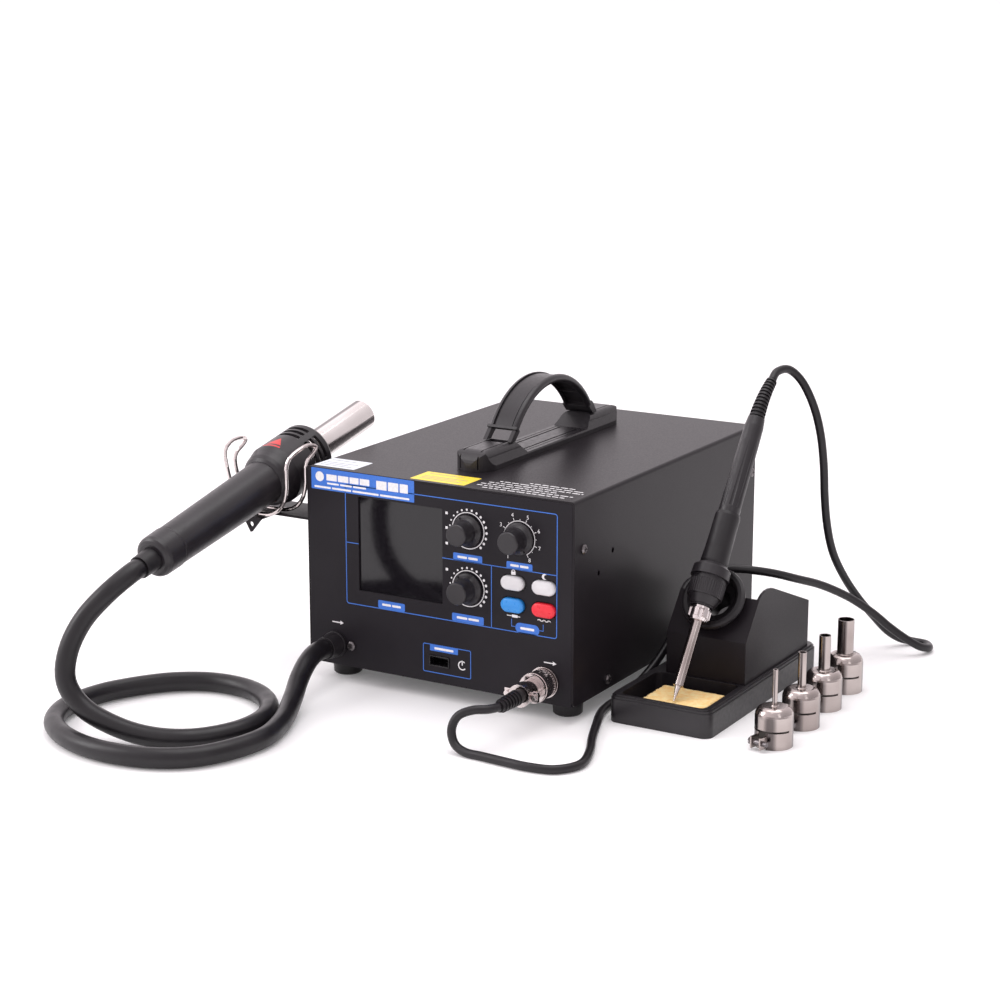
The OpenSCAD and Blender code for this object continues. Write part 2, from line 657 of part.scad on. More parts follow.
module gun_head() color("#222226") along_gun() difference() {
    rotate_extrude($fn = 96) polygon([
        [nose_r - 2.1, head_s + 0.1], [nose_r + 0.2, head_s + 0.1], [nose_r + 1.8, head_s + 2],
        [nose_r + 3, head_s + 4.6], [nose_r + 3.9, head_s + 8.4], [head_r, head_s + 13],
        [head_r, head_end - 2], [head_r - 0.7, head_end - 0.6], [head_r - 2, head_end],
        [14, head_end], [14, head_end - 2.2], [head_r - 2.2, head_end - 4],
        [head_r - 2.2, head_s + 14], [nose_r, head_s + 8], [nose_r - 2.1, head_s + 6.2]
    ]);
    // Cooling slots in six groups of three
    for (turn = [8 : 60 : 308], k = [0 : 2]) rotate(turn) translate([0, 0, head_end - 8.6 - 5 * k])
        rotate_extrude(angle = 47, $fn = 96) translate([head_r - 4, 0]) square([6, 3]);
}

module gun_tube() color("#c9c6c2") along_gun() {
    translate([0, 0, 140]) difference() {
        union() {
            cylinder(head_end - 136, tube_r - 0.3, tube_r - 0.3, $fn = 96);
            translate([0, 0, head_end - 138]) cylinder(tube_end - head_end - 2, tube_r, tube_r, $fn = 96);
        }
        translate([0, 0, -1]) cylinder(head_end - 136, tube_r - 0.8, tube_r - 0.8, $fn = 96);
        translate([0, 0, head_end - 138]) cylinder(tube_end, tube_r - 0.6, tube_r - 0.6, $fn = 96);
    }
    // Flange that the head holds
    translate([0, 0, 140]) difference() {
        cylinder(2, head_r - 2.3, head_r - 2.3, $fn = 96);
        translate([0, 0, -1]) cylinder(4, tube_r - 0.6, tube_r - 0.6, $fn = 96);
    }
}

module gun_heater() color("#e6e0d2") along_gun() translate([0, 0, 142]) difference() {
    cylinder(66, tube_r - 0.9, tube_r - 0.9, $fn = 64);
    for (i = [0 : 5]) rotate(60 * i) translate([5.6, 0, -1]) cylinder(70, 2.1, 2.1, $fn = 32);
    translate([0, 0, -1]) cylinder(70, 2, 2, $fn = 32);
}

module hose_cuff() color("#141416") along_gun() difference() {
    union() {
        translate([0, 0, -cuff_len]) cylinder(cuff_len, cuff_r - 0.5, cuff_r, $fn = 64);
        cylinder(10, cuff_r, cuff_r, $fn = 64);
        translate([0, 0, 8]) cylinder(3, cuff_r + 2, cuff_r + 2, $fn = 64);
    }
    translate([0, 0, -cuff_len + 1.5]) cylinder(40, 4, 4, $fn = 32);
}

module air_hose() color("#17171a") at_station() swept(hose_route, hose_r, 12);

module gun_bracket() color("#232227") at_station() {
    // Flange on the side of the case
    difference() {
        along_x(-side_x - bracket_t, bracket_t) polygon([
            [14, shelf_z], [38, shelf_z], [41, 101.5], [54, 101.5], [54, 90], [36, 79], [24, 79], [14, 88]
        ]);
        for (s = bracket_holes) translate([0, s[0], s[1]]) rod_x(-100, -90, screw_hole_r);
    }
    block([-141, 8, shelf_z - bracket_t], [-side_x - bracket_t, 38, shelf_z]);
    block([-137.5, -7, shelf_z - bracket_t], [-124.5, 8, shelf_z]);
    difference() {
        along_y(-7, bracket_t) polygon([
            [-137.5, shelf_z - bracket_t], [-132.6, 89.6], [-131.6, 89.6], [-124.5, shelf_z - bracket_t]
        ]);
        on_panel([-131.6, 94.6]) rod_y(-10, 0, 1.6, 32);
    }
}

module wire_cradle() color("#d5d3d0") at_station() swept(smooth(wire_route, 2), wire_r, 10);

// ---- Soldering iron ----

module along_iron() at_station() translate(tip_at) rotate([iron_tilt - 90, 0, 0]) children();

module iron_tip() color("#b9b4ae") along_iron() {
    cylinder(9, 0.4, 1.9, $fn = 48);
    translate([0, 0, 9]) cylinder(22, 2.2, 2.2, $fn = 48);
}

module iron_sleeve() color("#cfcac5") along_iron() difference() {
    union() {
        translate([0, 0, 9.5]) cylinder(42.9, sleeve_r, sleeve_r, $fn = 64);
        translate([0, 0, 51.6]) cylinder(0.8, 4.5, 4.5, $fn = 64);
    }
    translate([0, 0, 8]) cylinder(50, 2.3, 2.3, $fn = 48);
}

module iron_heater() color("#ded9cf") along_iron() {
    translate([0, 0, 32]) cylinder(34, 1.8, 1.8, $fn = 32);
}

module iron_nut() color("#d8d6d2") along_iron() difference() {
    union() {
        translate([0, 0, 50.5]) cylinder(2, 5.4, 6.2, $fn = 64);
        translate([0, 0, 52.5]) cylinder(5, 6.8, 6.8, $fn = 64);
        translate([0, 0, 57.5]) cylinder(1.8, 5.9, 5.9, $fn = 64);
    }
    translate([0, 0, 49]) cylinder(6, sleeve_r + 0.1, sleeve_r + 0.1, $fn = 64);
    translate([0, 0, 51.4]) cylinder(10, 4.9 + running, 4.9 + running, $fn = 64);
    // Notches round the nut
    for (i = [0 : 5]) rotate(60 * i) translate([7.4, 0, 50]) cylinder(7.5, 1.8, 1.8, $fn = 24);
}

module iron_collar() color("#1b1b1e") along_iron() difference() {
    union() {
        translate([0, 0, 52.6]) cylinder(7, 4.9, 4.9, $fn = 64);
        translate([0, 0, 59.6]) cylinder(1, 7, 7, $fn = 64);
        translate([0, 0, 60.6]) cylinder(5, 7.6, 9.8, $fn = 96);
        translate([0, 0, 65.6]) cylinder(10.4, 10.7, 10.9, $fn = 96);
        translate([0, 0, 76]) cylinder(2, 10.2, 10.2, $fn = 96);
        translate([0, 0, 78]) cylinder(6, 11.8, 11.4, $fn = 96);
        translate([0, 0, 84]) cylinder(2.4, 11.4, 8.6, $fn = 96);
    }
    translate([0, 0, 50]) cylinder(40, 2.4, 2.4, $fn = 48);
    translate([0, 0, 70]) cylinder(20, 4.6, 4.6, $fn = 48);
    // Knurling
    for (i = [0 : 39]) rotate(9 * i) translate([11.2, 0, 66.4]) cylinder(8.8, 0.62, 0.62, $fn = 16);
}

module iron_grip() color("#252528") along_iron() rotate_extrude($fn = 96) polygon([
    [5.6, 86.5], [8.2, 86.5], [8.5, 88], [8, 96], [7.8, 108], [7.7, 118], [7.2, 120], [5.6, 120]
]);

module iron_handle() color("#2b2b2f") along_iron() difference() {
    rotate_extrude($fn = 96) polygon([
        [0, 74], [4.5, 74], [4.5, 86.4], [5.5, 86.6], [5.5, 120.1], [6.5, 120.1], [6.6, 123],
        [6, 172], [5.9, 178], [5.2, relief_s], [0, relief_s]
    ]);
    // Long flutes of the handle
    for (i = [0 : 7]) rotate(45 * i + 22.5) translate([7.6, 0, 124]) cylinder(46, 1.6, 1.6, $fn = 24);
}

module iron_strain_relief() color("#1a1a1c") along_iron() translate([0, 0, relief_s + 0.1])
    for (k = [0 : relief_steps - 1]) translate([0, relief_place(k)[0], relief_place(k)[1]])
        rotate([-relief_turn(k + 0.5), 0, 0]) {
            r = 4.9 - 1.5 * k / relief_steps;
            cylinder(relief_len / relief_steps + 0.02, r - 0.9, r - 1, $fn = 32);
            translate([0, 0, 0.7]) cylinder(1.3, r, r - 0.1, $fn = 32);
        }

module iron_lead() color("#18181b") at_station() swept(lead_route, lead_r, 8, [0, 1, 0]);

// ---- Plug ----

module on_socket() at_station() on_panel(socket_at) children();

module plug_ring() color("#d6d5d8") on_socket() difference() {
    union() {
        rod_y(-15.6, -3, 8.8, 96);
        rod_y(-13.6, -11.6, 9.1, 96);
    }
    rod_y(-8.8, -2, socket_r + running, 64);
    rod_y(-17, -8, 6.3 + running, 64);
    for (i = [0 : 35]) rotate([0, 10 * i, 0]) translate([9, 0, 0]) rod_y(-10.6, -4, 0.45, 12);
}

module plug_body() color("#2a2a2e") on_socket() {
    rod_y(-23.4, -9, 6.3, 64);
    // Cable clamp with two ears and their screws
    rod_y(-31, -23.4, 6.9, 64);
    block([-11, -28.4, -3], [11, -26.2, 3]);
    for (x = [-9, 9]) translate([x, 0, 0]) rod_y(-30, -24.6, 1.7, 24);
}

module plug_boot() color("#151517") on_socket() {
    translate([0, -31, 0]) rotate([90, 0, 0]) cylinder(plug_len - 31, 4.1, 3.3, $fn = 48);
    for (i = [0 : 5]) translate([0, -34 - 3 * i, 0]) rotate([90, 0, 0])
        cylinder(1.4, 4.8 - 0.12 * i, 4.7 - 0.12 * i, $fn = 48);
}

// ---- Stand ----

module stand_base() color("#252428") at_station() difference() {
    union() {
        translate([stand_mid_x, stand_y + stand_l / 2, 0]) linear_extrude(stand_h - 2.5)
            round_rect(stand_w, stand_l, 6);
        translate([stand_mid_x, stand_y + stand_l / 2, stand_h - 2.5]) linear_extrude(1.5)
            round_rect(stand_w - 1.2, stand_l - 1.2, 5.6);
        translate([stand_mid_x, stand_y + stand_l / 2, stand_h - 1]) linear_extrude(1)
            round_rect(stand_w - 3, stand_l - 3, 5);
    }
    // Sponge tray, with a well in its floor
    translate([stand_mid_x + 0.5, 47, 6]) linear_extrude(20) round_rect(stand_w - 11, 49, 4);
    // Hollow underside
    translate([stand_mid_x, stand_y + 105, -1]) linear_extrude(stand_h - 3) round_rect(stand_w - 8, 88, 5);
    for (x = [-1, 1]) translate([holder_x + x * 16, 82, 0]) cylinder(30, 1.6, 1.6, $fn = 24);
}

module on_slope() translate([holder_x, slope_low[0], slope_low[1]])
    rotate([atan2(slope_high[1] - slope_low[1], slope_high[0] - slope_low[0]), 0, 0]) children();

module stand_holder() color("#242327") at_station() difference() {
    union() {
        for (x = [holder_x - holder_w / 2, holder_x + holder_w / 2 - holder_t])
            along_x(x, holder_t) polygon([
                [slope_low[0], stand_h], slope_low, slope_high, [95, 67.8], [99.5, 68.9],
                [105, 69], [111, 68], [167, 46.5], [167, stand_h]
            ]);
        // Floor flange, front wall and slope, bent from one sheet
        along_x(holder_x - holder_w / 2 + 0.5, holder_w - 1) polygon([
            [slope_low[0], stand_h], slope_low, slope_high, slope_high + [1.17, -0.94],
            slope_low + [holder_t, -0.72], [slope_low[0] + holder_t, stand_h + holder_t],
            [100, stand_h + holder_t], [100, stand_h]
        ]);
        // Round tongue that carries the bell
        on_slope() translate([0, bell_up, -holder_t + 0.05]) cylinder(holder_t - 0.1, 17, 17, $fn = 96);
    }
    on_slope() translate([0, bell_up, -10]) cylinder(20, 10, 10, $fn = 96);
    for (x = [-1, 1]) translate([holder_x + x * 16, 82, 10]) cylinder(12, 1.6, 1.6, $fn = 24);
}

module holder_bell() color("#1a1a1d") at_station() on_slope() translate([0, bell_up, 0]) rotate_extrude($fn = 96)
    polygon([
        [7.4, -22], [9.2, -22], [9.95, -12], [9.95, -1.6], [9.95, 0], [15, 0], [17.6, 2],
        [19.4, 4.2], [bell_r, 6.4], [19.6, 7.8], [18.2, bell_out], [16, bell_out], [14.6, 7],
        [13, 4.4], [9, 1.6], [8, -2]
    ]);

module sponge() color("#e8b23c") at_station() difference() {
    translate([143.9, 43.2, 6.1]) linear_extrude(8.5) round_rect(40.5, 30, 1.5);
    // Scalloped edge of the cut sponge
    for (i = [0 : 3]) translate([128 + 10.5 * i, 27, 5]) cylinder(12, 2, 2, $fn = 24);
    translate([165.6, 40, 5]) cylinder(12, 2.4, 2.4, $fn = 24);
}

// ---- Nozzles ----

// A cup that clamps on the gun's tube, with a round pipe on top
module nozzle(i, pipe_d) color("#cfcac6") at_station() translate([nozzle_xy[i][0], nozzle_xy[i][1], 0]) {
    difference() {
        union() {
            rotate_extrude($fn = 96) polygon(concat(
                [[cup_r - cup_t, 0], [cup_r, 0]],
                bend([cup_r - dome_w, cup_wall], dome_w, 0, 90, cup_h - cup_wall),
                [[0, cup_h], [0, cup_h - cup_t]],
                bend([cup_r - dome_w, cup_wall], dome_w - cup_t, 90, 0, cup_h - cup_t - cup_wall)
            ));
            translate([0, 0, cup_h - 0.3]) cylinder(0.8, pipe_d / 2 + 1.2, pipe_d / 2 + 0.6, $fn = 64);
            translate([0, 0, cup_h - 0.3]) cylinder(pipe_top - cup_h + 0.3, pipe_d / 2, pipe_d / 2, $fn = 64);
            // Two ears of the split band
            rotate(ear_turn) for (s = [-1, 1])
                translate([cup_r - 0.4, s * 3.2 - 0.5, 1.5]) cube([6.4, 1, 7]);
        }
        translate([0, 0, cup_h - 2]) cylinder(30, pipe_d / 2 - 0.4, pipe_d / 2 - 0.4, $fn = 64);
        // Split of the band and the long slot above it
        rotate(ear_turn) translate([4, -2.7, -1]) cube([12, 5.4, slot_z + 2]);
        rotate(ear_turn - 88) translate([0, 0, slot_z]) rotate_extrude(angle = 176, $fn = 96)
            translate([cup_r - 3, 0]) square([5, 1.1]);
        rotate(ear_turn) translate([cup_r + 3.6, 0, 5]) rotate([90, 0, 0])
            translate([0, 0, -10]) cylinder(20, screw_r + running, screw_r + running, $fn = 32);
    }
}

module clamp_screw(i) color("#c9c5c0") at_station() translate([nozzle_xy[i][0], nozzle_xy[i][1], 0])
    rotate(ear_turn) translate([cup_r + 3.6, 0, 5]) rotate([90, 0, 0]) {
        translate([0, 0, -6.6]) cylinder(10.6, screw_r, screw_r, $fn = 32);
        difference() {
            translate([0, 0, 3.8]) cylinder(1.8, 2.5, 2.1, $fn = 32);
            translate([-3, -0.35, 4.8]) cube([6, 0.7, 2]);
        }
    }

module nozzle_3mm() nozzle(0, 3);
module nozzle_5mm() nozzle(1, 5);
module nozzle_7mm() nozzle(2, 7);
module nozzle_10mm() nozzle(3, 10);
module clamp_screw_3mm() clamp_screw(0);
module clamp_screw_5mm() clamp_screw(1);
module clamp_screw_7mm() clamp_screw(2);
module clamp_screw_10mm() clamp_screw(3);

chassis();
top_cover();
rubber_feet();
fixing_screws();
display_window();
display_board();
main_board();
board_standoffs();
transformer_core();
transformer_coil();
pump_body();
pump_mounts();
air_tube();
potentiometers();
charging_port();
iron_socket();
air_outlet();
power_inlet();
power_rocker();
gun_bracket();
wire_cradle();
handle_base();
handle_bow();
temp_knob_upper();
temp_knob_lower();
air_knob();
lock_button();
sleep_button();
iron_power_button();
air_power_button();
gun_handle();
gun_head();
gun_tube();
gun_heater();
hose_cuff();
air_hose();
iron_handle();
iron_grip();
iron_collar();
iron_nut();
iron_sleeve();
iron_heater();
iron_tip();
iron_strain_relief();
iron_lead();
plug_body();
plug_ring();
plug_boot();
stand_base();
stand_holder();
holder_bell();
sponge();
nozzle_3mm();
nozzle_5mm();
nozzle_7mm();
nozzle_10mm();
clamp_screw_3mm();
clamp_screw_5mm();
clamp_screw_7mm();
clamp_screw_10mm();
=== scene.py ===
"""Hot air station: camera, cords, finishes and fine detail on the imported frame.

The frame is in metres. Places on the station are written in its own millimetres, with x to the right,
y to the back and z up from the bench below the middle of the front panel; at() turns them into the
frame's metres.
"""
import json
import math

import bmesh
import bpy
from mathutils import Matrix, Vector
from mathutils.geometry import tessellate_polygon


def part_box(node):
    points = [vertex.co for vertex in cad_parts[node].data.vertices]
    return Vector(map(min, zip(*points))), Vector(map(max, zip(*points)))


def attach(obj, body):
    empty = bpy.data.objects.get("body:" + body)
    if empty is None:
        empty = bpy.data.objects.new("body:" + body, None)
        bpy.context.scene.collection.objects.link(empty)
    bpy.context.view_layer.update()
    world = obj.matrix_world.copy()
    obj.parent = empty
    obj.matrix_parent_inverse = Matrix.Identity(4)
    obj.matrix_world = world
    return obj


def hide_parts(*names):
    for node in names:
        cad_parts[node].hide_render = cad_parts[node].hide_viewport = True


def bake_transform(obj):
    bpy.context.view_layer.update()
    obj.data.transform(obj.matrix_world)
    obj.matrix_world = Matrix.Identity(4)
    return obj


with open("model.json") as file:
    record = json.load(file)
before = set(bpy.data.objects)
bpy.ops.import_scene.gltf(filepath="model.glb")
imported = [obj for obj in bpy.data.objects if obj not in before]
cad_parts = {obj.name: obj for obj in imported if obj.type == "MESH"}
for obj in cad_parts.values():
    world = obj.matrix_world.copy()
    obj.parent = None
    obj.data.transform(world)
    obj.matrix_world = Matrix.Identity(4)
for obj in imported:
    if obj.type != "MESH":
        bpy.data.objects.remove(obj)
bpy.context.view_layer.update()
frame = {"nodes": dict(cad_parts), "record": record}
nodes = frame["nodes"]

MM = 0.001
STATION = Vector((-29, -66, 0))


def at(x, y, z):
    return (Vector((x, y, z)) + STATION) * MM


# ---------------------------------------------------------------- camera

# Place in station millimetres, turns in degrees from level and from straight ahead, lens in millimetres
CAMERA_AT = (703.6, -1116.6, 448.6)
CAMERA_YAW = 30.576
CAMERA_PITCH = -13.785
LENS = 82.45
SENSOR = 36


def make_camera():
    data = bpy.data.cameras.new("camera")
    data.lens = LENS
    data.sensor_width = SENSOR
    data.clip_start = 0.05
    camera = bpy.data.objects.new("camera", data)
    bpy.context.scene.collection.objects.link(camera)
    camera.location = at(*CAMERA_AT)
    camera.rotation_euler = (math.radians(90 + CAMERA_PITCH), 0, math.radians(CAMERA_YAW))
    bpy.context.scene.camera = camera


make_camera()
bpy.context.scene.view_settings.view_transform = "Standard"

# ---------------------------------------------------------------- mesh helpers


def add_object(name, data, body=None):
    obj = bpy.data.objects.new(name, data)
    bpy.context.scene.collection.objects.link(obj)
    if body:
        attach(obj, body)
    return obj


def mesh_object(name, verts, faces, look, body=None):
    mesh = bpy.data.meshes.new(name)
    mesh.from_pydata([tuple(v) for v in verts], [], faces)
    mesh.materials.append(look)
    mesh.polygons.foreach_set("use_smooth", [True] * len(mesh.polygons))
    mesh.update()
    return add_object(name, mesh, body)


def curve_point(points, i, f):
    """A point on the smooth curve through a route, between its points i and i + 1."""
    a, b = points[max(i - 1, 0)], points[i]
    c, d = points[i + 1], points[min(i + 2, len(points) - 1)]
    return 0.5 * (2 * b + (c - a) * f + (2 * a - 5 * b + 4 * c - d) * f * f
                  + (3 * b - a - 3 * c + d) * f * f * f)


def smooth_route(points, steps):
    path = [curve_point(points, i, k / steps) for i in range(len(points) - 1) for k in range(steps)]
    return path + [points[-1]]


def tube(name, path, radius, look, sides):
    """A round tube along a path, closed at both ends."""
    side = Vector((0, 0, 1))
    verts, faces = [], []
    last = len(path) - 1
    for i, p in enumerate(path):
        heading = (path[min(i + 1, last)] - path[max(i - 1, 0)]).normalized()
        side = (side - side.dot(heading) * heading).normalized()
        across = heading.cross(side)
        for k in range(sides):
            turn = 2 * math.pi * k / sides
            verts.append(p + radius * (math.cos(turn) * side + math.sin(turn) * across))
    for i in range(last):
        for k in range(sides):
            a, b = i * sides + k, i * sides + (k + 1) % sides
            faces.append((a, b, b + sides, a + sides))
    faces.append(tuple(reversed(range(sides))))
    faces.append(tuple(range(last * sides, (last + 1) * sides)))
    return mesh_object(name, verts, faces, look)


# ---------------------------------------------------------------- finishes


# Sockets of a Mix node that mixes colours
MIX_BY, MIX_A, MIX_B, MIX_OUT = 0, 6, 7, 2
RANGE_SOCKETS = ("From Min", "From Max", "To Min", "To Max")
DARK_REFLECTION = (0.03, 0.025, 0.028, 1)


class Look:
    """A procedural material. Textures use object coordinates, so scales are per metre."""

    def __init__(self, name, colour, rough, metal=0.0, edge=0.0, **sockets):
        self.mat = bpy.data.materials.new(name)
        self.mat.use_nodes = True
        self.tree = self.mat.node_tree
        self.skin = self.tree.nodes["Principled BSDF"]
        self.normal = None
        self.place = self.add("ShaderNodeTexCoord").outputs["Object"]
        self.skin.inputs["Base Color"].default_value = (*colour, 1)
        self.skin.inputs["Roughness"].default_value = rough
        self.skin.inputs["Metallic"].default_value = metal
        for socket, value in sockets.items():
            self.skin.inputs[socket.replace("_", " ")].default_value = value
        if edge:
            bevel = self.add("ShaderNodeBevel", samples=4)
            bevel.inputs["Radius"].default_value = edge * MM
            self.normal = bevel.outputs["Normal"]
            self.use(self.normal, "Normal")

    def add(self, kind, **settings):
        node = self.tree.nodes.new(kind)
        for key, value in settings.items():
            setattr(node, key, value)
        return node

    def link(self, output, target):
        self.tree.links.new(output, target)

    def use(self, output, socket):
        self.link(output, self.skin.inputs[socket])

    def stretched(self, stretch):
        mapping = self.add("ShaderNodeMapping")
        mapping.inputs["Scale"].default_value = stretch
        self.link(self.place, mapping.inputs["Vector"])
        return mapping.outputs["Vector"]

    def noise(self, scale, detail=2.0, roughness=0.5, stretch=None):
        node = self.add("ShaderNodeTexNoise")
        node.inputs["Scale"].default_value = scale
        node.inputs["Detail"].default_value = detail
        node.inputs["Roughness"].default_value = roughness
        self.link(self.stretched(stretch) if stretch else self.place, node.inputs["Vector"])
        return node.outputs["Fac"]

    def cells(self, scale):
        node = self.add("ShaderNodeTexVoronoi", feature="F1")
        node.inputs["Scale"].default_value = scale
        self.link(self.place, node.inputs["Vector"])
        return node.outputs["Distance"]

    def remap(self, value, low, high, to_low, to_high):
        node = self.add("ShaderNodeMapRange")
        self.link(value, node.inputs["Value"])
        for socket, number in zip(RANGE_SOCKETS, (low, high, to_low, to_high)):
            node.inputs[socket].default_value = number
        return node.outputs["Result"]

    def tint(self, value, dark, light, low=0.35, high=0.65):
        """Base colour between two colours, by a texture."""
        mix = self.add("ShaderNodeMix", data_type="RGBA")
        mix.inputs[MIX_A].default_value = (*dark, 1)
        mix.inputs[MIX_B].default_value = (*light, 1)
        self.link(self.remap(value, low, high, 0, 1), mix.inputs[MIX_BY])
        self.use(mix.outputs[MIX_OUT], "Base Color")

    def paint_dark_reflection(self, facings, amount):
        """Painted reflection: darker bands in the base colour where the surface faces these directions, as
        polished metal shows of a room.
        """
        source = self.skin.inputs["Base Color"].links[0].from_socket
        normal = self.add("ShaderNodeTexCoord").outputs["Normal"]
        strongest = None
        for facing, start, full in facings:
            dot = self.add("ShaderNodeVectorMath", operation="DOT_PRODUCT")
            dot.inputs[1].default_value = Vector(facing).normalized()
            self.link(normal, dot.inputs[0])
            part = self.remap(dot.outputs["Value"], start, full, 0, amount)
            if strongest:
                larger = self.add("ShaderNodeMath", operation="MAXIMUM")
                self.link(strongest, larger.inputs[0])
                self.link(part, larger.inputs[1])
                part = larger.outputs["Value"]
            strongest = part
        mix = self.add("ShaderNodeMix", data_type="RGBA")
        mix.inputs[MIX_B].default_value = DARK_REFLECTION
        self.link(source, mix.inputs[MIX_A])
        self.link(strongest, mix.inputs[MIX_BY])
        self.use(mix.outputs[MIX_OUT], "Base Color")

    def roughen(self, value, smooth, rough):
        """Roughness between two values, by a texture."""
        self.use(self.remap(value, 0.3, 0.7, smooth, rough), "Roughness")

    def bump(self, value, depth_mm, strength):
        """Fine relief by a texture, on top of any relief made before."""
        node = self.add("ShaderNodeBump")
        node.inputs["Strength"].default_value = strength
        node.inputs["Distance"].default_value = depth_mm * MM
        self.link(value, node.inputs["Height"])
        if self.normal:
            self.link(self.normal, node.inputs["Normal"])
        self.normal = node.outputs["Normal"]
        self.use(self.normal, "Normal")


# Painted reflection bands: each is a direction, and how squarely the surface faces it where the band starts
# and is full
ROUND_REFLECTION_BANDS = [((0.2, -1, 0), 0.93, 0.99), ((-0.8, -0.7, 0), 0.94, 0.995), ((1, 0.3, 0), 0.95, 0.995)]
TUBE_REFLECTION_BANDS = [((0.75, -0.2, -0.55), 0.9, 0.99), ((-0.1, -0.2, 1), 0.97, 0.998)]


def powder_coat(name, dark, light, rough=0.42):
    """Fine-textured paint on sheet steel."""
    look = Look(name, dark, rough, edge=0.5, Specular_IOR_Level=0.18)
    look.tint(look.noise(30, 3), dark, light)
    look.roughen(look.noise(1300, 2), rough - 0.03, rough + 0.05)
    look.bump(look.noise(3600, 2), 0.01, 0.2)
    return look.mat


def moulded(name, dark, light, rough, grain=3200, edge=0.35):
    """Injection-moulded plastic with a fine grain."""
    look = Look(name, dark, rough, edge=edge)
    look.tint(look.noise(60, 3), dark, light)
    look.roughen(look.noise(420, 3), rough - 0.05, rough + 0.06)
    look.bump(look.noise(grain, 2), 0.03, 0.4)
    return look.mat


def rubber(name, dark, light, rough=0.42):
    """Soft matt rubber or silicone, with handling marks."""
    look = Look(name, dark, rough, Specular_IOR_Level=0.4)
    look.tint(look.noise(45, 4), dark, light)
    look.roughen(look.noise(120, 4, 0.6), rough - 0.06, rough + 0.08)
    look.bump(look.noise(1400, 3), 0.02, 0.3)
    return look.mat


def metal(name, dark, light, rough, stretch=(1, 1, 1), reflection_bands=None):
    """Bare or plated metal, with faint wipe marks rather than blotches, and painted reflection bands where
    they are given.
    """
    look = Look(name, light, rough, metal=1.0, edge=0.2)
    look.tint(look.noise(35, 2, 0.5, stretch), dark, light)
    look.roughen(look.noise(700, 3, 0.6, stretch), rough - 0.04, rough + 0.06)
    look.bump(look.noise(1400, 2, 0.5, stretch), 0.004, 0.3)
    if reflection_bands:
        # Painted reflection: dark bands in the base colour where the surface faces the given directions
        look.paint_dark_reflection(reflection_bands, 0.75)
    return look.mat


def ink(name, colour, rough=0.5):
    """Screen-printed ink or label paper, a little uneven."""
    look = Look(name, colour, rough)
    look.tint(look.noise(700, 3), tuple(c * 0.9 for c in colour), colour)
    look.bump(look.noise(3000, 2), 0.01, 0.3)
    return look.mat


def make_window_look():
    """Polished dark acrylic, with a little dust in the finish only."""
    look = Look("window_look", (0.0045, 0.004, 0.005), 0.07, edge=0.2, Specular_IOR_Level=0.45)
    look.tint(look.noise(9, 1), (0.0065, 0.0055, 0.0075), (0.0095, 0.0085, 0.011))
    look.roughen(look.noise(500, 3), 0.05, 0.09)
    return look.mat


def make_sponge_look():
    """Cellulose sponge: open cells of two sizes in a golden body."""
    look = Look("sponge_look", (0.9, 0.6, 0.25), 0.9, Sheen_Weight=0.15)
    look.tint(look.noise(260, 5, 0.65), (0.97, 0.6, 0.2), (1.0, 0.8, 0.4))
    look.bump(look.noise(700, 4, 0.7), 0.3, 0.6)
    look.bump(look.cells(420), 0.35, 0.4)
    return look.mat


def make_tube_look():
    """Polished steel that the hot air has warmed to a faint straw colour, with painted reflection bands."""
    look = Look("tube_look", (0.8, 0.76, 0.74), 0.16, metal=1.0)
    look.tint(look.noise(22, 2, 0.5), (0.76, 0.71, 0.69), (0.9, 0.86, 0.84))
    look.roughen(look.noise(500, 3, 0.6, (12, 1, 1)), 0.12, 0.2)
    look.bump(look.noise(1500, 2, 0.5, (1, 6, 6)), 0.004, 0.3)
    # Painted reflection: dark bands along the tube where it faces these directions
    look.paint_dark_reflection(TUBE_REFLECTION_BANDS, 0.8)
    return look.mat


def make_board_look():
    """Green solder mask with tracks showing faintly through it."""
    look = Look("board_look", (0.02, 0.17, 0.07), 0.35)
    look.tint(look.cells(300), (0.012, 0.11, 0.045), (0.03, 0.22, 0.09), 0.1, 0.7)
    look.roughen(look.noise(400), 0.25, 0.45)
    return look.mat


